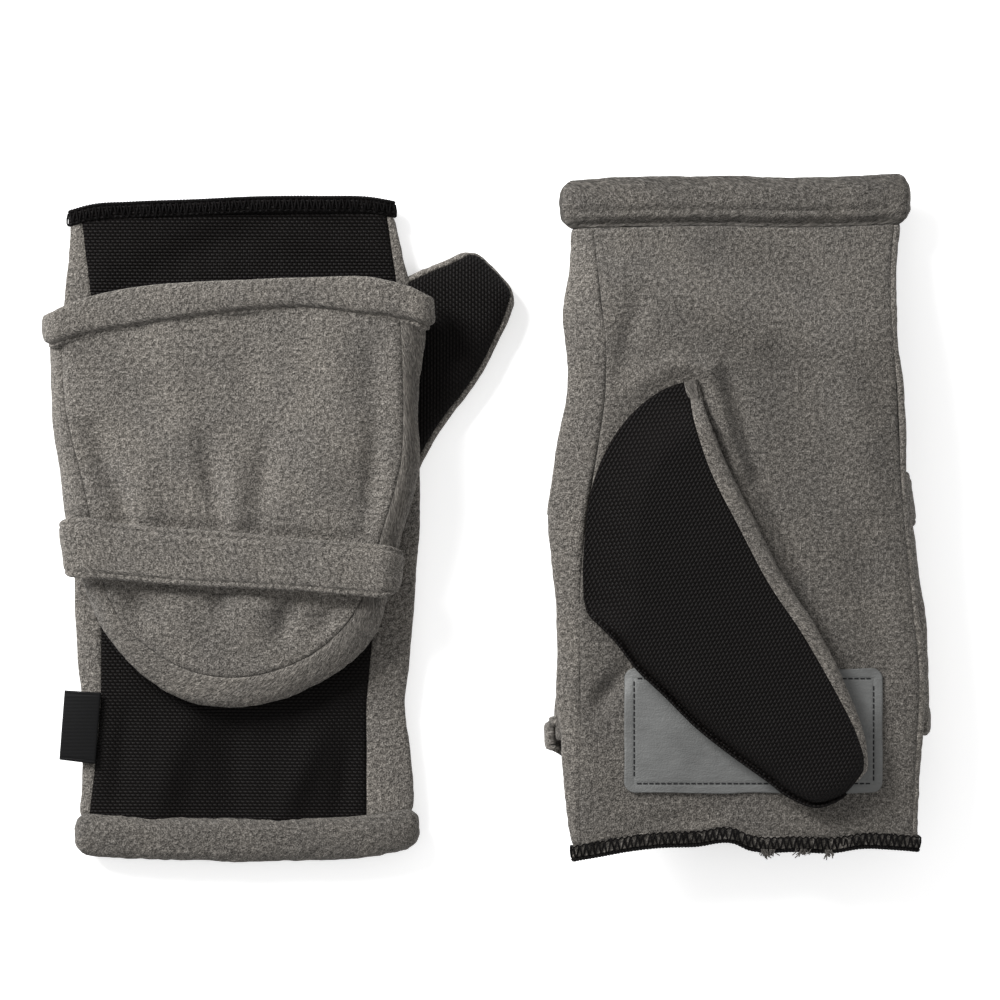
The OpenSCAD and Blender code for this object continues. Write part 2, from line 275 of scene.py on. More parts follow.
@dataclass
class Parts:
    """Mesh parts in the mitten's millimetres, gathered until they become one piece."""

    points: list[Array] = field(default_factory=list)
    faces: list[Array] = field(default_factory=list)
    places: list[Array] = field(default_factory=list)
    count: int = 0

    def add(self, points: Array, faces: Array, places: Array) -> None:
        """Takes in a part: its points, its four-sided faces and its places on the flat cloth.

        Args:
            points: Its points.
            faces: Its faces, as rows of point numbers.
            places: The place of each point on the flat cloth.
        """
        self.points.append(points)
        self.faces.append(faces + self.count)
        self.places.append(places)
        self.count += len(points)

    def sheet(self, grid: Array, thick: float, surface: Surface, inside: Sequence[float],
              flat: Array | None = None, roll: float = 1.0, wrap: bool = False) -> None:
        """Adds a sheet of cloth with rolled edges.

        Args:
            grid: The sheet's outer face, as rows of points.
            thick: Thickness of the cloth.
            surface: How rough the cloth is.
            inside: A point that the outer face looks away from.
            flat: The points' places on the flat cloth; worked out along the grid if not given.
            roll: Distance over which an edge rounds off.
            wrap: Whether the last point of a row joins the first one.
        """
        n, m = grid.shape[:2]
        ring = np.concatenate([grid[:, -1:], grid, grid[:, :1]], axis=1) if wrap else grid
        du, dv = np.gradient(ring, axis=0), np.gradient(ring, axis=1)
        if wrap:
            du, dv = du[:, 1:-1], dv[:, 1:-1]
        normal = np.cross(du, dv)
        normal /= np.linalg.norm(normal, axis=2, keepdims=True) + 1e-12
        turn = 1 if (normal * (grid - np.array(inside, float))).sum() > 0 else -1
        normal *= turn
        down = np.concatenate([np.zeros((1, m)), np.linalg.norm(np.diff(grid, axis=0), axis=2)]).cumsum(0)
        side = np.linalg.norm(np.diff(grid, axis=1), axis=2)
        across = np.concatenate([np.zeros((n, 1)), side], axis=1).cumsum(1)
        full = dome(np.minimum(down, down[-1:] - down) / roll, 2)
        if not wrap:
            full = full * dome(np.minimum(across, across[:, -1:] - across) / roll, 2)
        if flat is None:
            flat = np.stack([across - across[:, m // 2][:, None], down], axis=2)
        rough = surface.value * (0.6 * PILE.at(flat[..., 0], flat[..., 1], 1.7)
                                 + 0.4 * PILE.at(flat[..., 1] + 31, flat[..., 0], 3.1))
        middle = grid - normal * thick / 2
        outer = middle + normal * ((thick / 2 + rough) * full)[..., None]
        inner = middle - normal * ((thick / 2 + rough) * full)[..., None]
        edge = np.zeros((n, m), bool)
        edge[0], edge[-1] = True, True
        if not wrap:
            edge[:, 0], edge[:, -1] = True, True
        out_id = np.arange(n * m).reshape(n, m)
        in_id = out_id.copy()
        in_id[~edge] = n * m + np.arange((~edge).sum())
        faces = [self._quads(out_id, wrap, turn > 0), self._quads(in_id, wrap, turn < 0)]
        self.add(np.concatenate([outer.reshape(-1, 3), inner[~edge]]), np.concatenate(faces),
                 np.concatenate([flat.reshape(-1, 2), flat[~edge]]))

    def hoop(self, grid: Array, surface: Surface) -> None:
        """Adds a solid band that closes on itself both along and across.

        Args:
            grid: Rows of points; the last row joins the first one, and so in each row.
            surface: How rough the cloth is.
        """
        n, m = grid.shape[:2]
        ring = np.concatenate([grid[-1:], grid, grid[:1]])
        ring = np.concatenate([ring[:, -1:], ring, ring[:, :1]], axis=1)
        normal = np.cross(np.gradient(ring, axis=0), np.gradient(ring, axis=1))[1:-1, 1:-1]
        normal /= np.linalg.norm(normal, axis=2, keepdims=True) + 1e-12
        core = grid.mean(axis=0, keepdims=True)
        turn = 1 if (normal * (grid - core)).sum() > 0 else -1
        normal *= turn
        down = np.concatenate([np.zeros((1, m)), np.linalg.norm(np.diff(grid, axis=0), axis=2)]).cumsum(0)
        side = np.linalg.norm(np.diff(grid, axis=1), axis=2)
        across = np.concatenate([np.zeros((n, 1)), side], axis=1).cumsum(1)
        flat = np.stack([across, down], axis=2)
        rough = surface.value * PILE.at(flat[..., 0], flat[..., 1], 1.7)
        ids = np.arange(n * m).reshape(n, m)
        ids = np.concatenate([ids, ids[:1]])
        self.add((grid + normal * rough[..., None]).reshape(-1, 3), self._quads(ids, True, turn > 0),
                 flat.reshape(-1, 2))

    def thread(self, path: Array, radius: float, closed: bool = False) -> None:
        """Adds a round thread.

        Args:
            path: The points that it follows.
            radius: Half its thickness.
            closed: Whether its end joins its start.
        """
        sides = 6
        ahead = np.roll(path, -1, axis=0) - np.roll(path, 1, axis=0)
        if not closed:
            ahead[0], ahead[-1] = path[1] - path[0], path[-1] - path[-2]
        ahead /= np.linalg.norm(ahead, axis=1, keepdims=True) + 1e-12
        guide = np.array([0.31, 0.12, 0.94]) if abs(ahead[0, 2]) < 0.8 else np.array([0.9, 0.3, 0.1])
        normals = []
        for t in ahead:
            guide = guide - t * (guide @ t)
            guide = guide / (np.linalg.norm(guide) + 1e-12)
            normals.append(guide)
        n1 = np.array(normals)
        n2 = np.cross(ahead, n1)
        turn = np.linspace(0, 2 * math.pi, sides, endpoint=False)[None, :, None]
        rings = path[:, None] + radius * (np.cos(turn) * n1[:, None] + np.sin(turn) * n2[:, None])
        ids = np.arange(len(path) * sides).reshape(len(path), sides)
        quads = self._quads(np.concatenate([ids, ids[:1]]) if closed else ids, True, False)
        if not closed:
            caps = [[3, 2, 1, 0], [5, 4, 3, 0]]
            base = (len(path) - 1) * sides
            ends = [[base + k for k in reversed(c)] for c in caps]
            quads = np.concatenate([quads, np.array(caps), np.array(ends)])
        run = run_of(path)[:, None] + np.zeros((1, sides))
        flat = np.stack([np.arange(sides)[None] * radius + 0 * run, run], axis=2)
        self.add(rings.reshape(-1, 3), quads, flat.reshape(-1, 2))

    @staticmethod
    def _quads(ids: Array, wrap: bool, outward: bool) -> Array:
        """Four-sided faces over a grid of point numbers.

        Args:
            ids: Point numbers, laid out as the grid.
            wrap: Whether the last column joins the first.
            outward: Whether the faces keep the grid's own turn.

        Returns:
            The faces, as rows of point numbers.
        """
        if wrap:
            ids = np.concatenate([ids, ids[:, :1]], axis=1)
        quads = np.stack([ids[:-1, :-1], ids[1:, :-1], ids[1:, 1:], ids[:-1, 1:]], axis=2).reshape(-1, 4)
        return quads if outward else quads[:, ::-1]


@dataclass(frozen=True)
class Placement:
    """Where a mitten's own frame lies in the pair, and whether it is mirrored and turned over."""

    origin: tuple[float, float, float]
    turned: bool

    def world(self, points: Array) -> Array:
        """Points of the pair, in metres, from the mitten's own millimetres."""
        return np.array(self.origin) + points * (-MM if self.turned else MM)

    def point(self, x: float, y: float, z: float) -> Vector:
        """One point of the pair, in metres."""
        return Vector(self.world(np.array([x, y, z], float)))


@dataclass(frozen=True)
class Mitten:
    """Which mitten a piece belongs to, where it lies and the names that go with it."""

    side: str
    place: Placement

    def build(self, name: str, parts: Parts, finish: bpy.types.Material, slot: str,
              *nodes: str) -> bpy.types.Object:
        """Makes one piece from its parts.

        Args:
            name: What the piece is called, without its side.
            parts: Its mesh parts.
            finish: Its material.
            slot: The record's material slot; not used.
            nodes: CAD nodes that it stands for, without their side.

        Returns:
            The new object, which doesn't ride on a body yet.
        """
        points = self.place.world(np.concatenate(parts.points)).astype(np.float32)
        quads = np.concatenate(parts.faces).astype(np.int32)
        if self.place.turned:
            quads = quads[:, ::-1]
        flat = np.concatenate(parts.places).astype(np.float32)
        mesh = bpy.data.meshes.new(f"{self.side}_{name}")
        mesh.vertices.add(len(points))
        mesh.vertices.foreach_set("co", points.ravel())
        mesh.loops.add(quads.size)
        mesh.loops.foreach_set("vertex_index", quads.ravel())
        mesh.polygons.add(len(quads))
        mesh.polygons.foreach_set("loop_start", np.arange(0, quads.size, 4, dtype=np.int32))
        mesh.update(calc_edges=True)
        mesh.uv_layers.new(name="cloth").data.foreach_set("uv", flat[quads.ravel()].ravel())
        mesh.polygons.foreach_set("use_smooth", np.ones(len(quads), bool))
        mesh.materials.append(finish)
        piece = bpy.data.objects.new(f"{self.side}_{name}", mesh)
        bpy.context.scene.collection.objects.link(piece)
        for node in nodes:
            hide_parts(f"{self.side}_{node}")
        LOG.info("%s: %d faces", piece.name, len(quads))
        return piece

    def ride(self, piece: bpy.types.Object, body: str) -> None:
        """Lets a piece move with one of this mitten's bodies."""
        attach(piece, f"{self.side}_{body}")


# ---------------------------------------------------------------------------------------------------
# Finishes
# ---------------------------------------------------------------------------------------------------


class Nodes:
    """A short way to write a material's nodes."""

    def __init__(self, name: str) -> None:
        """Starts a material with a principled shader and the place on the flat cloth, in millimetres.

        Args:
            name: The material's name.
        """
        self.material = bpy.data.materials.new(name)
        self.material.use_nodes = True
        self.tree = self.material.node_tree
        self.shader = next(n for n in self.tree.nodes if n.type == "BSDF_PRINCIPLED")
        self.flat = self.tree.nodes.new("ShaderNodeTexCoord").outputs["UV"]

    def put(self, socket: bpy.types.NodeSocket, value: object) -> None:
        """Links an output to a socket, or sets the socket to a number, vector or colour.

        Args:
            socket: The socket to fill.
            value: An output, a number, a vector or a colour.
        """
        if isinstance(value, bpy.types.NodeSocket):
            self.tree.links.new(value, socket)
        else:
            socket.default_value = value

    def math(self, operation: str, a: object, b: object = 0.0, c: object = 0.0) -> bpy.types.NodeSocket:
        """One step of arithmetic on numbers.

        Args:
            operation: The step's name.
            a: First number or output.
            b: Second number or output.
            c: Third number or output.

        Returns:
            The output that holds the result.
        """
        node = self.tree.nodes.new("ShaderNodeMath")
        node.operation = operation
        for socket, value in zip(node.inputs, (a, b, c)):
            self.put(socket, value)
        return node.outputs[0]

    def scaled(self, factor: tuple[float, float, float]) -> bpy.types.NodeSocket:
        """The place on the flat cloth, stretched along each way.

        Args:
            factor: How much each way is stretched.

        Returns:
            The output that holds the place.
        """
        node = self.tree.nodes.new("ShaderNodeVectorMath")
        node.operation = "MULTIPLY"
        self.put(node.inputs[0], self.flat)
        node.inputs[1].default_value = factor
        return node.outputs[0]

    def noise(self, place: bpy.types.NodeSocket, scale: float, detail: float = 2.0,
              rough: float = 0.5) -> bpy.types.NodeSocket:
        """Soft random values round 0.5.

        Args:
            place: Where the values are read.
            scale: Bumps to a millimetre.
            detail: How many finer layers are added.
            rough: How strongly the finer layers count.

        Returns:
            The output that holds the values.
        """
        node = self.tree.nodes.new("ShaderNodeTexNoise")
        self.put(node.inputs["Vector"], place)
        node.inputs["Scale"].default_value = scale
        node.inputs["Detail"].default_value = detail
        node.inputs["Roughness"].default_value = rough
        return node.outputs["Fac"]

    def ramp(self, value: bpy.types.NodeSocket,
             stops: Sequence[tuple[float, tuple[float, float, float]]]) -> bpy.types.NodeSocket:
        """Colours along a value.

        Args:
            value: The value that picks the colour.
            stops: Places along the value, each with its colour.

        Returns:
            The output that holds the colour.
        """
        node = self.tree.nodes.new("ShaderNodeValToRGB")
        self.put(node.inputs["Fac"], value)
        band = node.color_ramp
        while len(band.elements) < len(stops):
            band.elements.new(0.5)
        for element, (place, colour) in zip(band.elements, stops):
            element.position = place
            element.color = (*colour, 1.0)
        return node.outputs["Color"]

    def mix(self, share: object, a: object, b: object, blend: str = "MIX") -> bpy.types.NodeSocket:
        """Mixes two colours.

        Args:
            share: How much the second colour counts.
            a: First colour.
            b: Second colour.
            blend: How the second is laid over the first.

        Returns:
            The output that holds the colour.
        """
        node = self.tree.nodes.new("ShaderNodeMix")
        node.data_type = "RGBA"
        node.blend_type = blend
        self.put(node.inputs[0], share)
        self.put(node.inputs[6], a)
        self.put(node.inputs[7], b)
        return node.outputs[2]

    def bump(self, height: bpy.types.NodeSocket, distance: float,
             over: bpy.types.NodeSocket | None = None) -> bpy.types.NodeSocket:
        """Turns a height into a surface direction; the distance is in millimetres.

        Args:
            height: The height to follow.
            distance: How far a full height stands up, in millimetres.
            over: A direction to add to; the plain face's if not given.

        Returns:
            The output that holds the direction.
        """
        node = self.tree.nodes.new("ShaderNodeBump")
        node.inputs["Distance"].default_value = distance * MM
        self.put(node.inputs["Height"], height)
        if over is not None:
            self.put(node.inputs["Normal"], over)
        return node.outputs["Normal"]

    def dress(self, colour: bpy.types.NodeSocket, normal: bpy.types.NodeSocket, rough: float,
              gloss: float, sheen: float = 0.0) -> bpy.types.Material:
        """Connects the shader and sets what is the same all over.

        Args:
            colour: Base colour.
            normal: Surface direction.
            rough: Roughness, from 0 to 1.
            gloss: Specular level.
            sheen: Weight of the soft light along grazing fibres.

        Returns:
            The finished material.
        """
        self.put(self.shader.inputs["Base Color"], colour)
        self.put(self.shader.inputs["Normal"], normal)
        self.shader.inputs["Roughness"].default_value = rough
        self.shader.inputs["Specular IOR Level"].default_value = gloss
        self.shader.inputs["Sheen Weight"].default_value = sheen
        self.shader.inputs["Sheen Roughness"].default_value = 0.6
        return self.material


@dataclass(frozen=True)
class Fleece:
    """Brushed fleece spun from light and dark fibres, with a short curled pile."""

    dark: tuple[float, float, float] = (0.040, 0.0365, 0.032)
    middle: tuple[float, float, float] = (0.135, 0.124, 0.111)
    light: tuple[float, float, float] = (0.36, 0.335, 0.305)
    fleck: float = 0.45
    # Brightness of the whole colour; below 1 it makes the darker copy that paints shade.
    tone: float = 1.0

    def make(self) -> bpy.types.Material:
        """Builds the material: heathered flecks, slow changes of tone, and a pile in two sizes.

        Returns:
            The material.
        """
        n = Nodes("brushed fleece")
        flecks = n.noise(n.scaled((1.15, 0.9, 1)), 1 / self.fleck, 3.0, 0.62)
        curls = n.noise(n.flat, 1 / 1.25, 2.0, 0.6)
        drift = n.noise(n.flat, 1 / 16, 1.0)
        blend = n.math("MULTIPLY_ADD", curls, 0.35, n.math("MULTIPLY", flecks, 0.65))
        colour = n.ramp(blend, [
            (0.38, tuple(c * self.tone for c in self.dark)),
            (0.5, tuple(c * self.tone for c in self.middle)),
            (0.64, tuple(c * self.tone for c in self.light)),
        ])
        shade = n.ramp(drift, [(0.3, (0.88, 0.88, 0.88)), (0.7, (1.06, 1.05, 1.03))])
        worn = n.mix(1.0, colour, shade, "MULTIPLY")
        pile = n.bump(curls, 1.3)
        return n.dress(worn, n.bump(flecks, 0.55, pile), 0.95, 0.08, 0.08)


@dataclass(frozen=True)
class Knit:
    """Black stretch knit with a raised dash in every other cell, set off from row to row."""

    pitch: float = 1.5
    row: float = 0.98
    base: tuple[float, float, float] = (0.0018, 0.0014, 0.0013)
    # Colour at the crest of each dash: partly the knit's own pattern, partly painted highlight where light
    # catches the raised loops.
    dash: tuple[float, float, float] = (0.0085, 0.0066, 0.006)

    def make(self) -> bpy.types.Material:
        """Builds the material from rows of dashes, with fine ribs across them.

        Returns:
            The material.
        """
        n = Nodes("stretch knit")
        parts = n.tree.nodes.new("ShaderNodeSeparateXYZ")
        n.put(parts.inputs[0], n.flat)
        rows = n.math("DIVIDE", parts.outputs[1], self.row)
        shift = n.math("MULTIPLY", n.math("FLOOR", rows), 0.5)
        along = n.math("FRACT", n.math("ADD", n.math("DIVIDE", parts.outputs[0], self.pitch), shift))
        across = n.math("FRACT", rows)
        wave = n.math("MULTIPLY", n.math("SINE", n.math("MULTIPLY", along, math.pi)),
                      n.math("SINE", n.math("MULTIPLY", across, math.pi)))
        hill = n.math("POWER", wave, 0.6)
        ribs = n.math("SINE", n.math("MULTIPLY", parts.outputs[0], 2 * math.pi / 0.36))
        fuzz = n.noise(n.flat, 2.2, 2.0)
        # Painted highlight: each dash lightens towards its crest, with a random share from the fuzz.
        crest_highlight = n.math("MULTIPLY", n.math("POWER", wave, 2.0), n.math("MULTIPLY_ADD", fuzz, 1.4, 0.15))
        colour = n.mix(crest_highlight, (*self.base, 1), (*self.dash, 1))
        height = n.math("MULTIPLY_ADD", ribs, 0.05, n.math("MULTIPLY_ADD", fuzz, 0.2, hill))
        return n.dress(colour, n.bump(height, 0.32), 0.5, 0.085)


@dataclass(frozen=True)
class GripLeather:
    """Grey synthetic leather with a fine pebbled grain."""

    dark: tuple[float, float, float] = (0.100, 0.101, 0.099)
    light: tuple[float, float, float] = (0.140, 0.142, 0.139)

    def make(self) -> bpy.types.Material:
        """Builds the material from small cells, creases and a faint change of tone.

        Returns:
            The material.
        """
        n = Nodes("grip leather")
        cells = n.tree.nodes.new("ShaderNodeTexVoronoi")
        n.put(cells.inputs["Vector"], n.scaled((1.0, 1.5, 1)))
        cells.inputs["Scale"].default_value = 1 / 0.55
        grain = n.math("POWER", cells.outputs["Distance"], 0.7)
        creases = n.noise(n.scaled((0.25, 1.2, 1)), 0.9, 3.0, 0.6)
        tone = n.math("MULTIPLY_ADD", n.noise(n.flat, 0.09, 2.0), 0.6, n.math("MULTIPLY", creases, 0.4))
        colour = n.ramp(tone, [(0.35, self.dark), (0.65, self.light)])
        normal = n.bump(creases, 0.12, n.bump(grain, 0.1))
        return n.dress(colour, normal, 0.5, 0.25)


@dataclass(frozen=True)
class Thread:
    """Twisted sewing thread."""

    name: str
    colour: tuple[float, float, float]

    def make(self) -> bpy.types.Material:
        """Builds the material from a slanted twist along the thread.

        Returns:
            The material.
        """
        n = Nodes(self.name)
        twist = n.tree.nodes.new("ShaderNodeTexWave")
        twist.bands_direction = "DIAGONAL"
        n.put(twist.inputs["Vector"], n.flat)
        twist.inputs["Scale"].default_value = 1.3
        twist.inputs["Distortion"].default_value = 0.8
        # Painted shade: the twist's low bands, where the bump sinks, are darkened to 0.55 of the thread's
        # colour.
        dark = tuple(c * 0.55 for c in self.colour)
        colour = n.mix(twist.outputs["Fac"], (*dark, 1), (*self.colour, 1))
        return n.dress(colour, n.bump(twist.outputs["Fac"], 0.08), 0.7, 0.06)


@dataclass(frozen=True)
class WovenTape:
    """Plain black woven tape with a fine satin rib."""

    colour: tuple[float, float, float] = (0.003, 0.003, 0.0032)

    def make(self) -> bpy.types.Material:
        """Builds the material from crossing yarns.

        Returns:
            The material.
        """
        n = Nodes("woven tape")
        parts = n.tree.nodes.new("ShaderNodeSeparateXYZ")
        n.put(parts.inputs[0], n.flat)
        weft = n.math("SINE", n.math("MULTIPLY", parts.outputs[1], 2 * math.pi / 0.42))
        warp = n.math("SINE", n.math("MULTIPLY", parts.outputs[0], 2 * math.pi / 0.3))
        weave = n.math("MULTIPLY_ADD", weft, 0.6, n.math("MULTIPLY", warp, 0.3))
        # Painted highlight: the raised yarns are lightened to 1.9 times the tape's colour, standing in for
        # the satin sheen.
        rib_highlight = tuple(c * 1.9 for c in self.colour)
        colour = n.mix(n.math("MULTIPLY_ADD", weave, 0.4, 0.4), (*self.colour, 1), (*rib_highlight, 1))
        return n.dress(colour, n.bump(weave, 0.03), 0.5, 0.1)


@dataclass(frozen=True)
class Finishes:
    """Every finish of the pair, made once."""

    fleece: bpy.types.Material = field(default_factory=lambda: Fleece().make())
    # Painted shade: the same fleece at 0.76 of its brightness, for the palms, the wrist hems and the right
    # finger edge.
    painted_shade_fleece: bpy.types.Material = field(default_factory=lambda: Fleece(tone=0.76).make())
    knit: bpy.types.Material = field(default_factory=lambda: Knit().make())
    leather: bpy.types.Material = field(default_factory=lambda: GripLeather().make())
    edge_thread: bpy.types.Material = field(
        default_factory=lambda: Thread("overlock thread", (0.0065, 0.0058, 0.0058)).make())
    patch_thread: bpy.types.Material = field(
        default_factory=lambda: Thread("patch thread", (0.028, 0.028, 0.03)).make())
    loose_fibre: bpy.types.Material = field(
        default_factory=lambda: Thread("loose fibre", (0.11, 0.102, 0.093)).make())
    tape: bpy.types.Material = field(default_factory=lambda: WovenTape().make())


# ---------------------------------------------------------------------------------------------------
# Shapes shared by the sub-assemblies
# ---------------------------------------------------------------------------------------------------


@dataclass(frozen=True)
class Levels:
    """Heights in a mitten's own frame, in millimetres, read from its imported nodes."""

    palm: float
    back: float
    hood_low: float
    hood_top: float
    strap_top: float

    @classmethod
    def read(cls, mitten: Mitten) -> "Levels":
        """Reads the faces that the cloth has to meet.

        Args:
            mitten: The mitten whose nodes are read.

        Returns:
            Its levels.
        """
        def height(node: str, top: bool) -> float:
            """Height of one face of a node.

            Args:
                node: The node's name without its side.
                top: Whether the upper face is meant.

            Returns:
                The height in the mitten's own frame.
            """
            low, high = (np.array(c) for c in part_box(f"{mitten.side}_{node}"))
            ends = [(c - np.array(mitten.place.origin))[2] / MM for c in (low, high)]
            ends = [-e for e in ends] if mitten.place.turned else ends
            return max(ends) if top else min(ends)

        return cls(height("palm_panel", False), height("back_panel", True), height("hood_back", False),
                   height("hood_front", True), height("strap", True))


def loop(middle: tuple[float, float], half: tuple[float, float], power: float,
         count: int) -> tuple[Array, Array]:
    """A closed rounded section across the mitten.

    Args:
        middle: Its centre, across and up.
        half: Its half width and half height.
        power: How square it is; 2 is an ellipse.
        count: Number of points.

    Returns:
        Evenly spaced points and the outward directions there, each as rows of (across, up).
    """
    turn = np.linspace(0, 2 * math.pi, 1441)
    c, s = np.cos(turn), np.sin(turn)
    line = np.stack([middle[0] + half[0] * np.sign(c) * np.abs(c) ** (2 / power),
                     middle[1] + half[1] * np.sign(s) * np.abs(s) ** (2 / power)], axis=1)
    run = run_of(line)
    at = np.arange(count) / count * run[-1]
    pts = np.stack([np.interp(at, run, line[:, k]) for k in (0, 1)], axis=1)
    ahead = np.roll(pts, -1, axis=0) - np.roll(pts, 1, axis=0)
    out = np.stack([ahead[:, 1], -ahead[:, 0]], axis=1)
    return pts, out / np.linalg.norm(out, axis=1, keepdims=True)


def stitches(parts: Parts, path: Array, pitch: float, share: float, radius: float) -> None:
    """Adds a row of separate stitches.

    Args:
        parts: Where they are gathered.
        path: The line of points that they follow, on the cloth's face.
        pitch: Distance from one stitch to the next.
        share: Share of the pitch that shows.
        radius: Half the thread's thickness.
    """
    run = run_of(path)
    for start in np.arange(pitch / 2, run[-1] - pitch, pitch):
        at = start + pitch * share * np.array([0, 0.12, 0.5, 0.88, 1])
        line = np.stack([np.interp(at, run, col) for col in path.T], axis=1)
        parts.thread(line, radius)


def groove(distance: Array, depth: float, width: float = 0.55) -> Array:
    """How deep a stitched groove is at each distance from its thread."""
    return depth * np.exp(-((distance / width) ** 2))


@dataclass
class Pocket:
    """A flat pocket sewn from two faces: where its rim runs and how high its faces stand."""

    rim: Array
    low: float
    top: Callable[[Array, Array], Array]
    run: float
    share: float = 0.45
    up: int = 1
    power: float = 2.3

    def middle(self, plan: Array) -> Array:
        """Height of the rim nearest to each place in the plan."""
        return self.low + self.share * (self.top(plan[..., 0], plan[..., 1]) - self.low)

    def heights(self, plan: Array, above: bool, gap: Array | None = None) -> Array:
        """Height of a face over the plan.

        Args:
            plan: Places in the plan.
            above: Whether it is the upper face.
            gap: Distance from the rim at each place; measured if not given.

        Returns:
            The height at each place, along the mitten's own up.
        """
        gap = distance_to(plan, self.rim) if gap is None else gap
        mid = self.middle(plan)
        full = self.top(plan[..., 0], plan[..., 1]) if above else self.low
        return self.up * (mid + (full - mid) * dome(gap / self.run, self.power))

    def panel(self, line: Array, corners: tuple[float, float], above: bool, step: float,
              mouth: Sequence[Sequence[float]] | None = None) -> Array:
        """Fills the space inside a line with a grid that lies on one face.

        Args:
            line: A line of points from one end of the mouth, round the tip, to the other.
            corners: Shares of the line's length where its sides meet its tip.
            above: Whether it lies on the upper face.
            step: Distance between the grid's lines.
            mouth: Points along the mouth, from the line's start to its end; straight if not given.

        Returns:
            The grid of points.
        """
        run = run_of(line)

        def at(share: Array) -> Array:
            """Points at shares of the line's length."""
            return np.stack([np.interp(share * run[-1], run, line[:, k]) for k in (0, 1)], axis=1)

        a, b = corners
        width = np.linalg.norm(line[-1] - line[0])
        u, v = shares(width, step), shares(run[-1] * (a + 1 - b) / 2, step)
        edge = spline(mouth, u) if mouth is not None else line[0] + u[:, None] * (line[-1] - line[0])
        plan = coons(edge, at(a + u * (b - a)), at(v * a), at(1 - v * (1 - b)))
        return np.dstack([plan, self.heights(plan, above)])

    def inward(self) -> Array:
        """Directions from the rim into the pocket, for a rim that runs anticlockwise.

        Returns:
            One direction of length 1 for each point of the rim.
        """
        ahead = np.gradient(self.rim, axis=0)
        turned = np.stack([-ahead[:, 1], ahead[:, 0]], axis=1)
        return turned / np.linalg.norm(turned, axis=1, keepdims=True)

    def band(self, inward: Array, width: Array, under: float, step: float) -> Array:
        """A strip of cloth that wraps the rim, from under it up to a seam on the upper face.

        Args:
            inward: Directions from the rim into the pocket, one for each point of the rim.
            width: Distance from the rim to the seam at each point.
            under: How far the strip reaches in under the pocket.
            step: Distance between the grid's lines.

        Returns:
            The grid of points, with a row for each place along the rim.
        """
        over = np.sin(shares(width.mean() * 1.4, step) * math.pi / 2 - math.pi / 2) + 1
        low = 1 - np.cos(shares(under * 1.5, step)[::-1] * math.pi / 2)
        grids = []
        for reach, share, above in ((under, low[:-1], False), (width[:, None], over, True)):
            gap = share[None, :] * reach + 0 * width[:, None]
            plan = self.rim[:, None, :] + inward[:, None, :] * gap[..., None]
            grids.append(np.dstack([plan, self.heights(plan, above, gap)]))
        return np.concatenate(grids, axis=1)


# ---------------------------------------------------------------------------------------------------
# Glove body
# ---------------------------------------------------------------------------------------------------


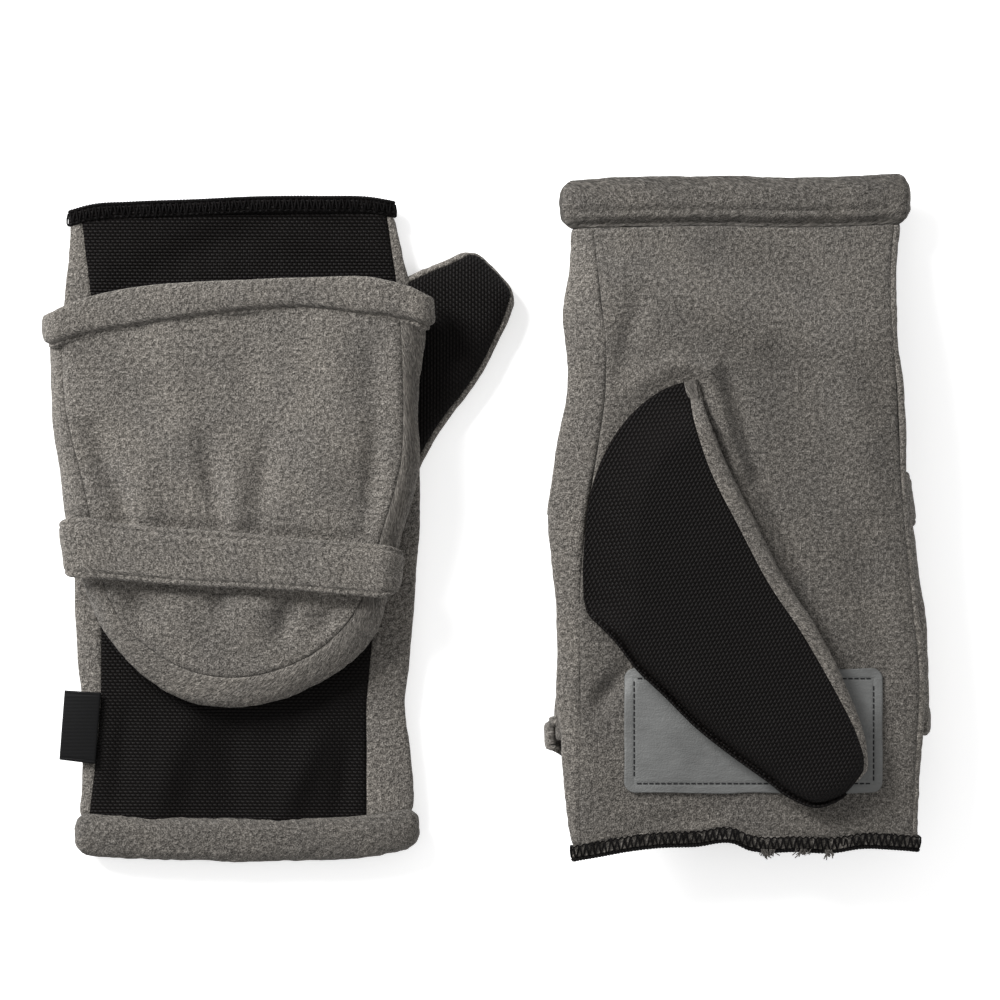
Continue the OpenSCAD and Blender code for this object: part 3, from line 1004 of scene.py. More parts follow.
@dataclass
class GloveBody:
    """The fingerless glove: palm and back panels, a gusset round each side, a hem and a bound edge."""

    mitten: Mitten
    finishes: Finishes
    levels: Levels
    thumb_edge: Table
    outer_edge: Table
    back_thumb_seam: Table
    back_outer_seam: Table
    palm_thumb_seam: Table
    finger_line: Table
    wrist_line: Table
    hem_span: tuple[float, float]
    hem_grooves: tuple[float, ...] = ()
    back_folds: tuple[Fold, ...] = ()
    palm_folds: tuple[Fold, ...] = ()
    bound_with_knit: bool = True
    palm_inset: float = 2.6
    finger_y: float = 100.0
    body: tuple[float, float] = (-87.5, 97.0)
    power: float = 4.0
    fleece_t: float = 1.8
    knit_t: float = 1.0
    step: float = 0.9
    lap: float = 0.45
    sag: float = 0.0
    hem_bulge: float = 1.9
    loose_ends: tuple[float, ...] = ()
    hem_levels: tuple[float, float] = (0.1, 10.6)

    def edges(self, y: Array) -> tuple[Array, Array]:
        """The middle and the half width of the glove at places along it."""
        right, left = smooth(self.thumb_edge, y), smooth(self.outer_edge, y)
        return (right + left) / 2, (right - left) / 2

    def slack(self, x: Array, y: Array) -> Array:
        """Moves places near the ends along the glove, so that its edges run as they were cut.

        Args:
            x: Places across the glove.
            y: Places along it before the move.

        Returns:
            Places along it after the move.
        """
        finger = (smooth(self.finger_line, x) - self.finger_y) * ease((y - 40) / 50)
        wrist = smooth(self.wrist_line, x) * ease((-50 - y) / 36)
        return y + finger + wrist

    def depth(self, y: Array) -> Array:
        """Half the glove's thickness; it is pressed thinner towards the fingers, under the closed hood."""
        full = (self.levels.back - self.levels.palm) / 2
        return full * (1 - 0.27 * ease((y - 72) / 18))

    def drop(self, y: Array) -> Array:
        """How far the wrist end hangs down off the hood that lies under it."""
        return self.sag * ease((-50 - y) / 48)

    def face(self, x: Array, y: Array, up: int, slackness: Array | float = 1.0) -> Array:
        """Height of a face of the glove.

        Args:
            x: Places across.
            y: Places along.
            up: 1 for the back, -1 for the palm.
            slackness: Share of the folds that shows; the cloth is held flat at its seams.

        Returns:
            The height at each place.
        """
        middle, half = self.edges(y)
        lv = self.levels
        bulge = (1 - np.clip(np.abs(x - middle) / half, 0, 1) ** self.power) ** (1 / self.power)
        folds = self.back_folds if up > 0 else self.palm_folds
        calm = 1 - 0.8 * ease((y - 60) / 14)
        loose = folded(folds, x, y) + 0.5 * SLACK.at(x, y, 17) * calm * (1 if folds else 0)
        return (lv.back + lv.palm) / 2 + self.drop(y) + up * bulge * (self.depth(y) + loose * slackness)

    def panel(self, left: Array, right: Array, y: Array, up: int) -> Array:
        """A grid between two seams on the back or the palm, with a row for each place along.

        Args:
            left: Where the left seam runs, for each place along.
            right: Where the right seam runs, for each place along.
            y: Places along the glove.
            up: 1 for the back, -1 for the palm.

        Returns:
            The grid of points.
        """
        s = shares(float(np.mean(right - left)), self.step)
        x = left[:, None] + (right - left)[:, None] * s[None]
        along = y[:, None] + 0 * x
        held = ease(np.minimum(s, 1 - s)[None] * (right - left)[:, None] / 8)
        return np.dstack([x, self.slack(x, along), self.face(x, along, up, held)])

    def gusset(self, y: Array, back: Array, palm: Array, side: int) -> Array:
        """A grid round one side, from the back's seam to the palm's, with a row for each place along.

        Args:
            y: Places along the glove.
            back: Where the back's seam runs, for each place along.
            palm: Where the palm's seam runs, for each place along.
            side: 1 for the thumb side, -1 for the outer side.

        Returns:
            The grid of points.
        """
        middle, half = self.edges(y)
        top = np.arccos(np.clip(np.abs(back - middle) / half, 0, 1) ** (self.power / 2))
        low = -np.arccos(np.clip(np.abs(palm - middle) / half, 0, 1) ** (self.power / 2))
        s = shares(18, 0.75)
        s = 0.5 - 0.5 * np.sign(0.5 - s) * np.abs(1 - 2 * s) ** 1.5
        turn = top[:, None] + (low - top)[:, None] * s[None]
        x = middle[:, None] + side * half[:, None] * np.abs(np.cos(turn)) ** (2 / self.power)
        lv = self.levels
        rise = np.sign(np.sin(turn)) * np.abs(np.sin(turn)) ** (2 / self.power)
        along = y[:, None] + 0 * x
        z = (lv.back + lv.palm) / 2 + self.depth(along) * rise + self.drop(along)
        ripple = 0.8 * SLACK.at(along, z * 0.5 + 90 * side, 13)
        return np.dstack([x + side * ripple * np.cos(turn), self.slack(x, along), z])

    def build(self) -> None:
        """Builds and dresses every piece of the body."""
        f, m, lv = self.finishes, self.mitten, self.levels
        y = self.body[0] + (self.body[1] - self.body[0]) * shares(self.body[1] - self.body[0], self.step)
        heart = (0, 0, (lv.palm + lv.back) / 2)
        back_l, back_r = smooth(self.back_outer_seam, y), smooth(self.back_thumb_seam, y)
        palm_l = smooth(self.outer_edge, y) + self.palm_inset
        palm_r = smooth(self.palm_thumb_seam, y)
        panels = (
            ("back_cloth", self.panel(back_l, back_r, y, 1), self.knit_t, Surface.KNIT, f.knit,
             "stretch_knit", "back_panel"),
            # The palm takes the darker fleece copy, which paints shade.
            ("palm_cloth", self.panel(palm_l, palm_r, y, -1), self.fleece_t, Surface.FLEECE,
             f.painted_shade_fleece, "fleece", "palm_panel"),
            ("thumb_side_cloth", self.gusset(y, back_r - self.lap, palm_r - self.lap, 1), self.fleece_t,
             Surface.FLEECE, f.fleece, "fleece", "thumb_side_gusset"),
            ("outer_side_cloth", self.gusset(y, back_l + self.lap, palm_l + self.lap, -1), self.fleece_t,
             Surface.FLEECE, f.fleece, "fleece", "outer_side_gusset"),
        )
        for name, grid, thick, surface, finish, slot, node in panels:
            parts = Parts()
            flat = grid[..., :2] if "side" not in name else None
            parts.sheet(grid, thick, surface, heart, flat, roll=1.7 if surface is Surface.KNIT else 2.2)
            m.ride(m.build(name, parts, finish, slot, node), "glove")
        self.build_hem()
        self.build_finger_edge()

    def ring(self, y: float, grow: float, rise: float, count: int) -> tuple[Array, Array]:
        """The glove's section at one place along it, grown outward and upward.

        Args:
            y: The place along the glove.
            grow: How much it widens at each side.
            rise: How much it thickens above and below.
            count: How many points.

        Returns:
            The section's points, and the outward direction at each.
        """
        middle, half = self.edges(np.array([y]))
        lv = self.levels
        depth = float(self.depth(np.array([y]))[0]) + rise
        return loop((float(middle[0]), (lv.back + lv.palm) / 2), (float(half[0]) + grow, depth),
                    self.power - 0.6, count)

    def build_hem(self) -> None:
        """Builds the rolled wrist hem, with stitched grooves where it has them."""
        low, high = self.hem_span
        puff = 2.8
        middle, half = self.edges(np.array([self.body[0] + 3]))
        floor, crest = self.hem_levels
        pts, out = loop((float(middle[0]), (floor + crest) / 2),
                        (float(half[0]) + self.hem_bulge - puff, (crest - floor) / 2 - puff), 3.0, 300)
        turn = np.linspace(0, 2 * math.pi, 64, endpoint=False)
        c, s = np.cos(turn), np.sin(turn)
        y = (low + high) / 2 + (high - low) / 2 * (np.sign(c) * np.abs(c) ** 0.8)[:, None] * (
            1 - 0.13 * out[:, 0][None] ** 2)
        lift = -0.4 + (puff + 0.4) * np.sign(s) * np.abs(s) ** 0.95
        x = pts[:, 0][None] + 0 * y
        palm = ease((self.levels.palm + 2.5 - pts[:, 1]) / 2)[None]
        on_top = (s > 0)[:, None]
        sink = sum((groove(y - g, 1.2, 0.8) * palm * on_top for g in self.hem_grooves), 0 * x)
        if self.hem_grooves:
            flat_part = ease((y - self.hem_grooves[0]) / 3) * 1.2
            sink = sink + flat_part * palm * on_top
        rests = ease((pts[:, 1] - floor - 1.5) / 2)[None] if not self.hem_grooves else 1
        lift = lift[:, None] + 0.35 * SLACK.at(x, y, 9) * rests - sink
        cut = smooth(self.wrist_line, x)
        wave = 0.5 * SLACK.at(x, 0 * x + 40, 12) * ease((high - y) / (high - low))
        grid = np.dstack([x + out[:, 0][None] * lift, y + cut + wave,
                          pts[:, 1][None] + out[:, 1][None] * lift + self.drop(y)])
        parts = Parts()
        parts.hoop(grid, Surface.FLEECE)
        # The hem takes the darker fleece copy, which paints shade.
        piece = self.mitten.build("wrist_hem_cloth", parts, self.finishes.painted_shade_fleece, "fleece",
                                  "wrist_hem")
        self.mitten.ride(piece, "glove")

    def build_finger_edge(self) -> None:
        """Builds the bound finger edge and the overlock thread that runs over it."""
        f, m = self.finishes, self.mitten
        start = self.finger_y - 4.2
        count = 260
        pts, out = self.ring(self.finger_y - 4, 0.1, 0.1, count)
        reach = self.finger_y - 0.4 - start
        down = shares(reach, 0.8)
        outer = np.concatenate([np.full(len(down), 0.15), [-0.4, -1.2, -1.6], np.full(len(down), -1.75)])
        along = np.concatenate([start + down * reach, self.finger_y + np.array([-0.1, 0, -0.1]),
                                start + down[::-1] * reach])
        x = pts[:, 0][None] + 0 * along[:, None]
        y = self.slack(x, along[:, None] + 0 * x)
        ripple = 0.35 * SLACK.at(x, 0 * x + 7, 5) * ease((along[:, None] - start) / 4)
        lift = outer[:, None] + ripple
        grid = np.dstack([x + out[:, 0][None] * lift, y, pts[:, 1][None] + out[:, 1][None] * lift])
        parts = Parts()
        parts.hoop(grid, Surface.KNIT if self.bound_with_knit else Surface.FLEECE)
        # A fleece-bound edge takes the darker fleece copy, which paints shade.
        finish = f.knit if self.bound_with_knit else f.painted_shade_fleece
        m.ride(m.build("finger_edge_cloth", parts, finish, "overlock_thread", "finger_binding"), "glove")
        m.ride(m.build("overlock_thread", self.overlock(), f.edge_thread, "overlock_thread"), "glove")
        if self.loose_ends:
            m.ride(m.build("frayed_ends", self.frays(), f.loose_fibre, "fleece"), "glove")

    def overlock(self) -> Parts:
        """The overlock stitch: loops over the edge, a chain along it and a row of needle thread.

        Returns:
            The stitch's threads.
        """
        pts, out = self.ring(self.finger_y - 4, 0.1, 0.1, 1200)
        run = run_of(np.concatenate([pts, pts[:1]]))
        loops = int(run[-1] / 1.9)
        jitter = np.random.default_rng(5)
        steps = np.array([[0.0, 0.3, -0.7], [0.05, -0.6, 0.25], [0.2, -2.4, 0.5], [0.33, -4.2, 0.5],
                          [0.47, -4.35, 0.5], [0.6, -2.6, 0.5], [0.8, -0.7, 0.3], [0.9, 0.3, -0.5]])
        at, along, lift = [], [], []
        for k in range(loops):
            deep = jitter.uniform(0.68, 0.98)
            at.append((k + steps[:, 0] + jitter.normal(0, 0.08)) / loops)
            along.append(steps[:, 1] * deep)
            lift.append(steps[:, 2])
        parts = Parts()
        parts.thread(self.on_edge(pts, out, np.concatenate(at), np.concatenate(along),
                                  np.concatenate(lift)), 0.26)
        share = np.linspace(0, 1, 900, endpoint=False)
        knot = np.sin(share * loops * 2 * math.pi)
        for phase in (1, -1):
            parts.thread(self.on_edge(pts, out, share, 0.25 + 0.3 * phase * knot,
                                      -0.6 + 0.55 * phase * np.cos(share * loops * 2 * math.pi)),
                         0.42, closed=True)
        parts.thread(self.on_edge(pts, out, share, 0.25 * knot - 3.6, 0.35 + 0.16 * knot), 0.2, True)
        return parts

    def frays(self) -> Parts:
        """Tufts of cut fibres that hang out past the overlock stitch on the palm.

        Returns:
            The fibres.
        """
        draw = np.random.default_rng(9)
        parts = Parts()
        t = np.linspace(0, 1, 6)[:, None]
        for middle in self.loose_ends:
            way = draw.normal(0, 0.3)
            for _ in range(22):
                x = middle + draw.normal(0, 0.8)
                length = draw.uniform(0.5, 2.6) * math.exp(-abs(x - middle) / 2.2)
                edge_y = float(self.slack(np.array([x]), np.array([self.finger_y]))[0])
                start = np.array([x, edge_y - 0.3, 0])
                start[2] = self.levels.palm + draw.uniform(0.2, 1.6)
                lean, curl = way + draw.normal(0, 0.4), draw.normal(0, 0.6)
                drift = np.hstack([lean * length * t + curl * t * t, (length + 0.6) * t,
                                   0.8 * curl * t * t])
                parts.thread(start + drift, 0.17)
        return parts

    def on_edge(self, pts: Array, out: Array, at: Array, along: Array, lift: Array) -> Array:
        """Points over the finger edge.

        Args:
            pts: The edge's section.
            out: The outward directions there.
            at: Shares of the way round the edge.
            along: Distances past the edge, along the mitten.
            lift: Distances out from the cloth.

        Returns:
            The points, as rows.
        """
        k = np.mod(at * len(pts), len(pts))
        i, part = k.astype(int) % len(pts), (k % 1)[:, None]
        j = (i + 1) % len(pts)
        p, o = pts[i] * (1 - part) + pts[j] * part, out[i] * (1 - part) + out[j] * part
        y = self.slack(p[:, 0], self.finger_y + along)
        return np.stack([p[:, 0] + o[:, 0] * lift, y, p[:, 1] + o[:, 1] * lift], axis=1)


# ---------------------------------------------------------------------------------------------------
# Hood and strap
# ---------------------------------------------------------------------------------------------------


@dataclass
class Hood:
    """The flip-over finger hood, lying back on the glove with its tip under the strap."""

    mitten: Mitten
    finishes: Finishes
    levels: Levels
    folds: tuple[Fold, ...]
    rim: Sequence[tuple[float, float]] = (
        (-57.2, 63.0), (-57.1, 58.0), (-57.0, 53.3), (-56.6, 41.4), (-56.0, 29.4), (-54.0, 17.4),
        (-52.6, 5.0), (-49.6, -8.0), (-47.1, -15.9), (-42.4, -27.5), (-34.4, -38.6), (-23.6, -47.7),
        (-12.3, -52.4), (-1.4, -53.2), (10.0, -51.6), (22.8, -46.4), (33.6, -39.4), (41.0, -30.6),
        (43.9, -21.9), (46.4, -10.0), (49.2, 0.5), (52.0, 10.0), (53.9, 20.0), (53.4, 35.4),
        (54.0, 45.0), (55.2, 54.0), (56.0, 62.0), (56.2, 67.0))
    seam: Sequence[tuple[float, float]] = (
        (-54.0, 63.0), (-53.8, 57.0), (-53.5, 51.3), (-53.1, 41.4), (-51.0, 29.4), (-47.3, 15.4),
        (-45.0, 5.0), (-43.0, -8.0), (-39.6, -19.9), (-34.4, -28.6), (-24.6, -37.6), (-13.0, -43.0),
        (-1.6, -44.4), (9.6, -42.6), (22.4, -36.8), (31.6, -28.6), (36.4, -21.0), (40.2, -10.0),
        (43.4, 1.0), (46.2, 10.0), (48.6, 20.0), (49.4, 35.4), (49.0, 49.2), (48.4, 60.0), (48.2, 67.0))
    corners: tuple[float, float] = (0.345, 0.655)
    fleece_t: float = 1.8
    back_t: float = 0.9
    step: float = 0.9
    tip_drop: float = 4.2
    hem_ends: tuple[float, float] = (-58.3, 57.8)
    hem_line: Sequence[tuple[float, float]] = (
        (-58.0, 65.0), (-52.6, 67.6), (-46.2, 70.0), (-37.2, 72.2), (-24.3, 74.0), (-10.0, 74.9),
        (3.6, 75.5), (23.6, 76.2), (39.5, 76.2), (47.0, 74.6), (52.4, 72.9), (57.6, 70.4))
    hem_stitch_line: Sequence[tuple[float, float]] = (
        (-56.4, 55.6), (-49.0, 57.8), (-39.0, 59.7), (-18.3, 62.9), (-4.3, 65.0), (9.6, 66.3),
        (19.5, 66.3), (33.6, 65.0), (46.5, 63.5), (56.8, 61.0))

    def top(self, x: Array, y: Array) -> Array:
        """Height of the hood's upper face away from its rim.

        Args:
            x: Places across the mitten.
            y: Places along it.

        Returns:
            The height at each place.
        """
        high = self.levels.hood_top - 0.3 - self.tip_drop * ease((-8 - y) / 44)
        hung = 0.8 * SLACK.at(x, y, 21) * ease((58 - y) / 20)
        return high + hung + folded(self.folds, x, y)

    def pocket(self) -> Pocket:
        """The hood's rim and faces."""
        at = shares(360, self.step)
        return Pocket(spline(self.rim, at), self.levels.hood_low + 0.2, self.top, 10.5)

    def build(self) -> None:
        """Builds and dresses every piece of the hood."""
        f, m = self.finishes, self.mitten
        pocket = self.pocket()
        heart = (0, 20, (self.levels.hood_low + self.levels.hood_top) / 2)
        seam = spline(self.seam, shares(360, self.step))
        toward = seam - pocket.rim
        width = np.linalg.norm(toward, axis=1)
        toward = toward / width[:, None]
        border = Parts()
        grid = pocket.band(toward, width + 0.3, 6.5, 0.8)
        border.sheet(grid, self.fleece_t, Surface.FLEECE, heart, roll=2.4)
        m.ride(m.build("hood_border_cloth", border, f.fleece, "fleece", "hood_border"), "hood")

        front = Parts()
        mouth = [(x, y - 2) for x, y in self.hem_stitch_line]
        grid = pocket.panel(seam, self.corners, True, self.step, mouth)
        front.sheet(grid, self.fleece_t, Surface.FLEECE, heart, grid[..., :2], roll=2.4)
        m.ride(m.build("hood_front_cloth", front, f.fleece, "fleece", "hood_front"), "hood")

        back = Parts()
        mouth = [(x, y - 1.6) for x, y in self.hem_line[1:-1]]
        grid = pocket.panel(pocket.rim + toward * 6.4, self.corners, False, 1.4, mouth)
        back.sheet(grid, self.back_t, Surface.KNIT, heart, grid[..., :2])
        m.ride(m.build("hood_back_cloth", back, f.fleece, "fleece", "hood_back"), "hood")
        self.build_hem()
        self.build_knuckle_fold()

    def build_hem(self) -> None:
        """Builds the turned hem at the hood's mouth, which wraps down its sides, with a stitched groove
        along it.
        """
        lv = self.levels
        ends = self.hem_ends
        round_r = 5.2
        top, low = lv.hood_top + 0.75, lv.hood_low + 2.4
        corner = [math.radians(a) for a in (20, 45, 70)]
        path = [(ends[0] + 1.2, low), (ends[0] + 0.2, low + 3), (ends[0], top - round_r - 1)]
        path += [(ends[0] + round_r * (1 - math.cos(a)), top - round_r * (1 - math.sin(a))) for a in corner]
        path += [(ends[0] + 1.4 * round_r, top), (-30, top), (0, top), (30, top),
                 (ends[1] - 1.4 * round_r, top)]
        path += [(ends[1] - round_r * (1 - math.cos(a)), top - round_r * (1 - math.sin(a)))
                 for a in reversed(corner)]
        path += [(ends[1], top - round_r - 1), (ends[1] - 0.2, low + 3), (ends[1] - 1.2, low)]
        across = spline(path, shares(142, 0.8))
        x, z = across[:, 0], across[:, 1]
        y1, y0 = smooth(self.hem_line, x), smooth(self.hem_stitch_line, x) - 0.9
        v = shares(11, 0.8, (1.1,))
        y = y0[:, None] + (y1 - y0)[:, None] * v[None]
        from_seam = (y - y0[:, None])
        puff = 1.3 * dome(np.minimum((from_seam - 1.1) / 4, (y1[:, None] - y) / 3), 2)
        puff = np.where(from_seam > 1.1, puff, 0) - groove(from_seam - 1.1, 0.5, 0.6)
        loose = 0.3 * SLACK.at(x[:, None] + 0 * y, y, 10)
        ahead = np.gradient(across, axis=0)
        out = np.stack([-ahead[:, 1], ahead[:, 0]], axis=1)
        out /= np.linalg.norm(out, axis=1, keepdims=True)
        lift = puff + loose - 0.5
        grid = np.dstack([x[:, None] + out[:, 0][:, None] * lift, y,
                          z[:, None] + out[:, 1][:, None] * lift])
        parts = Parts()
        parts.sheet(grid, 2.9, Surface.FLEECE, (0, 68, 14), roll=1.7)
        m = self.mitten
        m.ride(m.build("hood_hem_cloth", parts, self.finishes.fleece, "fleece", "hood_hem"), "hood")

    def build_knuckle_fold(self) -> None:
        """Builds the strip that joins the hood's back to the glove across the knuckles."""
        lv = self.levels
        low, high = lv.back - 0.2, lv.hood_low + 1.9
        turn = np.linspace(-math.pi / 2, math.pi / 2, 9)
        bend_y = 74.6 + 1.1 * np.cos(turn)
        bend_z = (low + high) / 2 + (high - low) / 2 * np.sin(turn)
        y = np.concatenate([[68, 70.5, 72.4, 73.2], bend_y, [73, 71, 69]])
        z = np.concatenate([[low - 2.2, low - 2.1, low - 1.9, low - 0.1], bend_z, [high] * 3])
        x = -32 + 76 * shares(76, 1.6)
        line_x, line_y = np.array(self.hem_line).T
        shift = np.interp(x, line_x, line_y) - 77.3
        grid = np.dstack([x[:, None] + 0 * y, shift[:, None] + y, 0 * x[:, None] + z])
        parts = Parts()
        parts.sheet(grid, 0.8, Surface.SMOOTH, (0, 40, (low + high) / 2), roll=0.4)
        m = self.mitten
        piece = m.build("knuckle_fold_cloth", parts, self.finishes.fleece, "fleece")
        place = m.place
        place.point(0, 75, low)
        place.point(0, 75, high)
        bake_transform(piece)


@dataclass
class Strap:
    """The fleece strap over the hood, sewn into the glove under each of its ends."""

    mitten: Mitten
    finishes: Finishes
    levels: Levels
    thumb_reach: float = 0.0
    thumb_rise: float = 0.0
    outer_reach: float = 0.0
    thick: float = 2.0
    inset: float = 2.1

    def edge(self, upper: bool) -> list[tuple[float, float, float]]:
        """One long edge of the strap, from under its outer end to under its thumb end.

        Args:
            upper: Whether it is the edge nearer the fingers.

        Returns:
            Points along the edge.
        """
        top, mid, low = self.levels.strap_top, self.levels.hood_top - 5, self.levels.back + 1
        r = self.thumb_reach
        if upper:
            return [(-48, 0.4, low), (-52.6, 1.0, low + 2.5), (-55.2, 2.2, mid), (-54.6, 3.6, top - 1.8),
                    (-50.5, 4.3, top - 0.3), (-38, 2.6, top - 0.2), (-20, 1.0, top), (0, -0.4, top),
                    (20, -2.2, top - 0.1), (37, -3.4, top - 0.3), (46 + r / 2, -4.2, top - 0.6),
                    (50.4 + r, -5.4, top - 2.8), (51.4 + r, -6.6, mid), (49 + r, -7.6, low + 2.5),
                    (46, -8, low)]
        return [(-47, -11.6, low), (-51.4, -12.4, low + 2.5), (-53.6, -13.4, mid), (-53.0, -14.4, top - 1.8),
                (-49.0, -14.8, top - 0.3), (-38, -15.4, top - 0.2), (-20, -16.8, top), (0, -17.8, top),
                (20, -18.8, top - 0.1), (36, -20.2, top - 0.3), (44 + r / 2, -20.6, top - 0.6),
                (48.6 + r, -19.6, top - 2.8), (49.6 + r, -18.4, mid), (47 + r, -17.4, low + 2.5),
                (44, -17, low)]

    def build(self) -> None:
        """Builds the strap, with a stitched groove along each long edge."""
        at = shares(136, 0.8)
        upper, lower = spline(self.edge(True), at), spline(self.edge(False), at)
        for line in (upper, lower):
            line[:, 1] += self.thumb_rise * ease(line[:, 0] / 50)
            line[:, 0] += self.outer_reach * ease((-line[:, 0] - 30) / 15)
        width = 18.0
        v = shares(width, 0.7, (self.inset, width - self.inset))
        across = v[None, :, None]
        grid = upper[:, None] * (1 - across) + lower[:, None] * across
        gap = np.minimum(v, 1 - v) * width
        lift = 1.0 * dome(gap / 5, 2) - groove(gap - self.inset, 0.3, 0.5)
        wave = 0.3 * SLACK.at(grid[..., 0], grid[..., 1], 9)
        facing = np.gradient((upper + lower) / 2, axis=0)
        out = np.stack([-facing[:, 2], 0 * facing[:, 0], facing[:, 0]], axis=1)
        out /= np.linalg.norm(out, axis=1, keepdims=True)
        grid = grid + out[:, None] * (lift[None] + wave - 0.6)[..., None]
        parts = Parts()
        parts.sheet(grid, self.thick, Surface.FLEECE, (0, -8, 12), roll=1.5)
        m, lv = self.mitten, self.levels
        piece = m.build("strap_cloth", parts, self.finishes.fleece, "fleece", "strap")
        m.ride(piece, "glove")
        m.place.point(0, -8, lv.back)
        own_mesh(piece)


# ---------------------------------------------------------------------------------------------------
# Thumbs
# ---------------------------------------------------------------------------------------------------


@dataclass
class SideThumb:
    """The left mitten's thumb, standing out flat from the side of the glove."""

    mitten: Mitten
    finishes: Finishes
    rim: Sequence[tuple[float, float]] = (
        (47.0, 8.0), (51.0, 12.5), (54.0, 18.8), (57.6, 25.8), (62.7, 33.6), (68.4, 40.8), (73.7, 49.0),
        (77.6, 57.0), (80.8, 63.8), (82.2, 69.4), (81.4, 72.6), (78.6, 76.2), (74.8, 80.2),
        (71.6, 83.0), (68.2, 83.6), (61.8, 81.3), (55.5, 78.7), (51.0, 76.6), (47.0, 74.0))
    middle_z: float = 4.0
    half_z: float = 3.5
    knit_t: float = 1.0
    fleece_t: float = 1.6

    def top(self, x: Array, y: Array) -> Array:
        """Height of the knit face away from the rim."""
        return self.middle_z + self.half_z + 0.25 * SLACK.at(x, y, 12) - 0.6 * ease((y - 66) / 16)

    def build(self) -> None:
        """Builds the thumb's knit face, its fleece face and the fleece edge between them."""
        f, m = self.finishes, self.mitten
        at = shares(150, 0.8)
        pocket = Pocket(spline(self.rim, at), self.middle_z - self.half_z, self.top, 8.0, 0.5)
        inward = pocket.inward()
        on_tip = ease((pocket.rim[:, 0] - 66) / 4) * ease((pocket.rim[:, 1] - 68) / 4)
        width = 1.5 - 1.1 * on_tip
        seam = pocket.rim + inward * width[:, None]
        heart = (64, 50, self.middle_z)
        corners = (0.475, 0.69)
        upper = pocket.panel(seam, corners, True, 0.8)
        lower = pocket.panel(pocket.rim + inward * 3.6, corners, False, 1.1)
        pieces = (("thumb_knit_cloth", upper, self.knit_t, Surface.KNIT, f.knit, "stretch_knit",
                   ("thumb_back",)),
                  ("thumb_palm_cloth", lower, self.fleece_t, Surface.FLEECE, f.fleece, "fleece",
                   ("thumb_front",)),
                  ("thumb_edge_cloth", pocket.band(inward, width, 3.8, 0.6), self.fleece_t, Surface.FLEECE,
                   f.fleece, "fleece", ()))
        for name, grid, thick, surface, finish, slot, nodes in pieces:
            parts = Parts()
            turned = np.stack([grid[..., 1], grid[..., 0]], axis=2)
            parts.sheet(grid, thick, surface, heart, turned if "edge" not in name else None, roll=0.8)
            piece = m.build(name, parts, finish, slot, *nodes)
            m.place.point(50, 46, 4)
            m.place.point(62, 46, 4)
            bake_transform(piece)


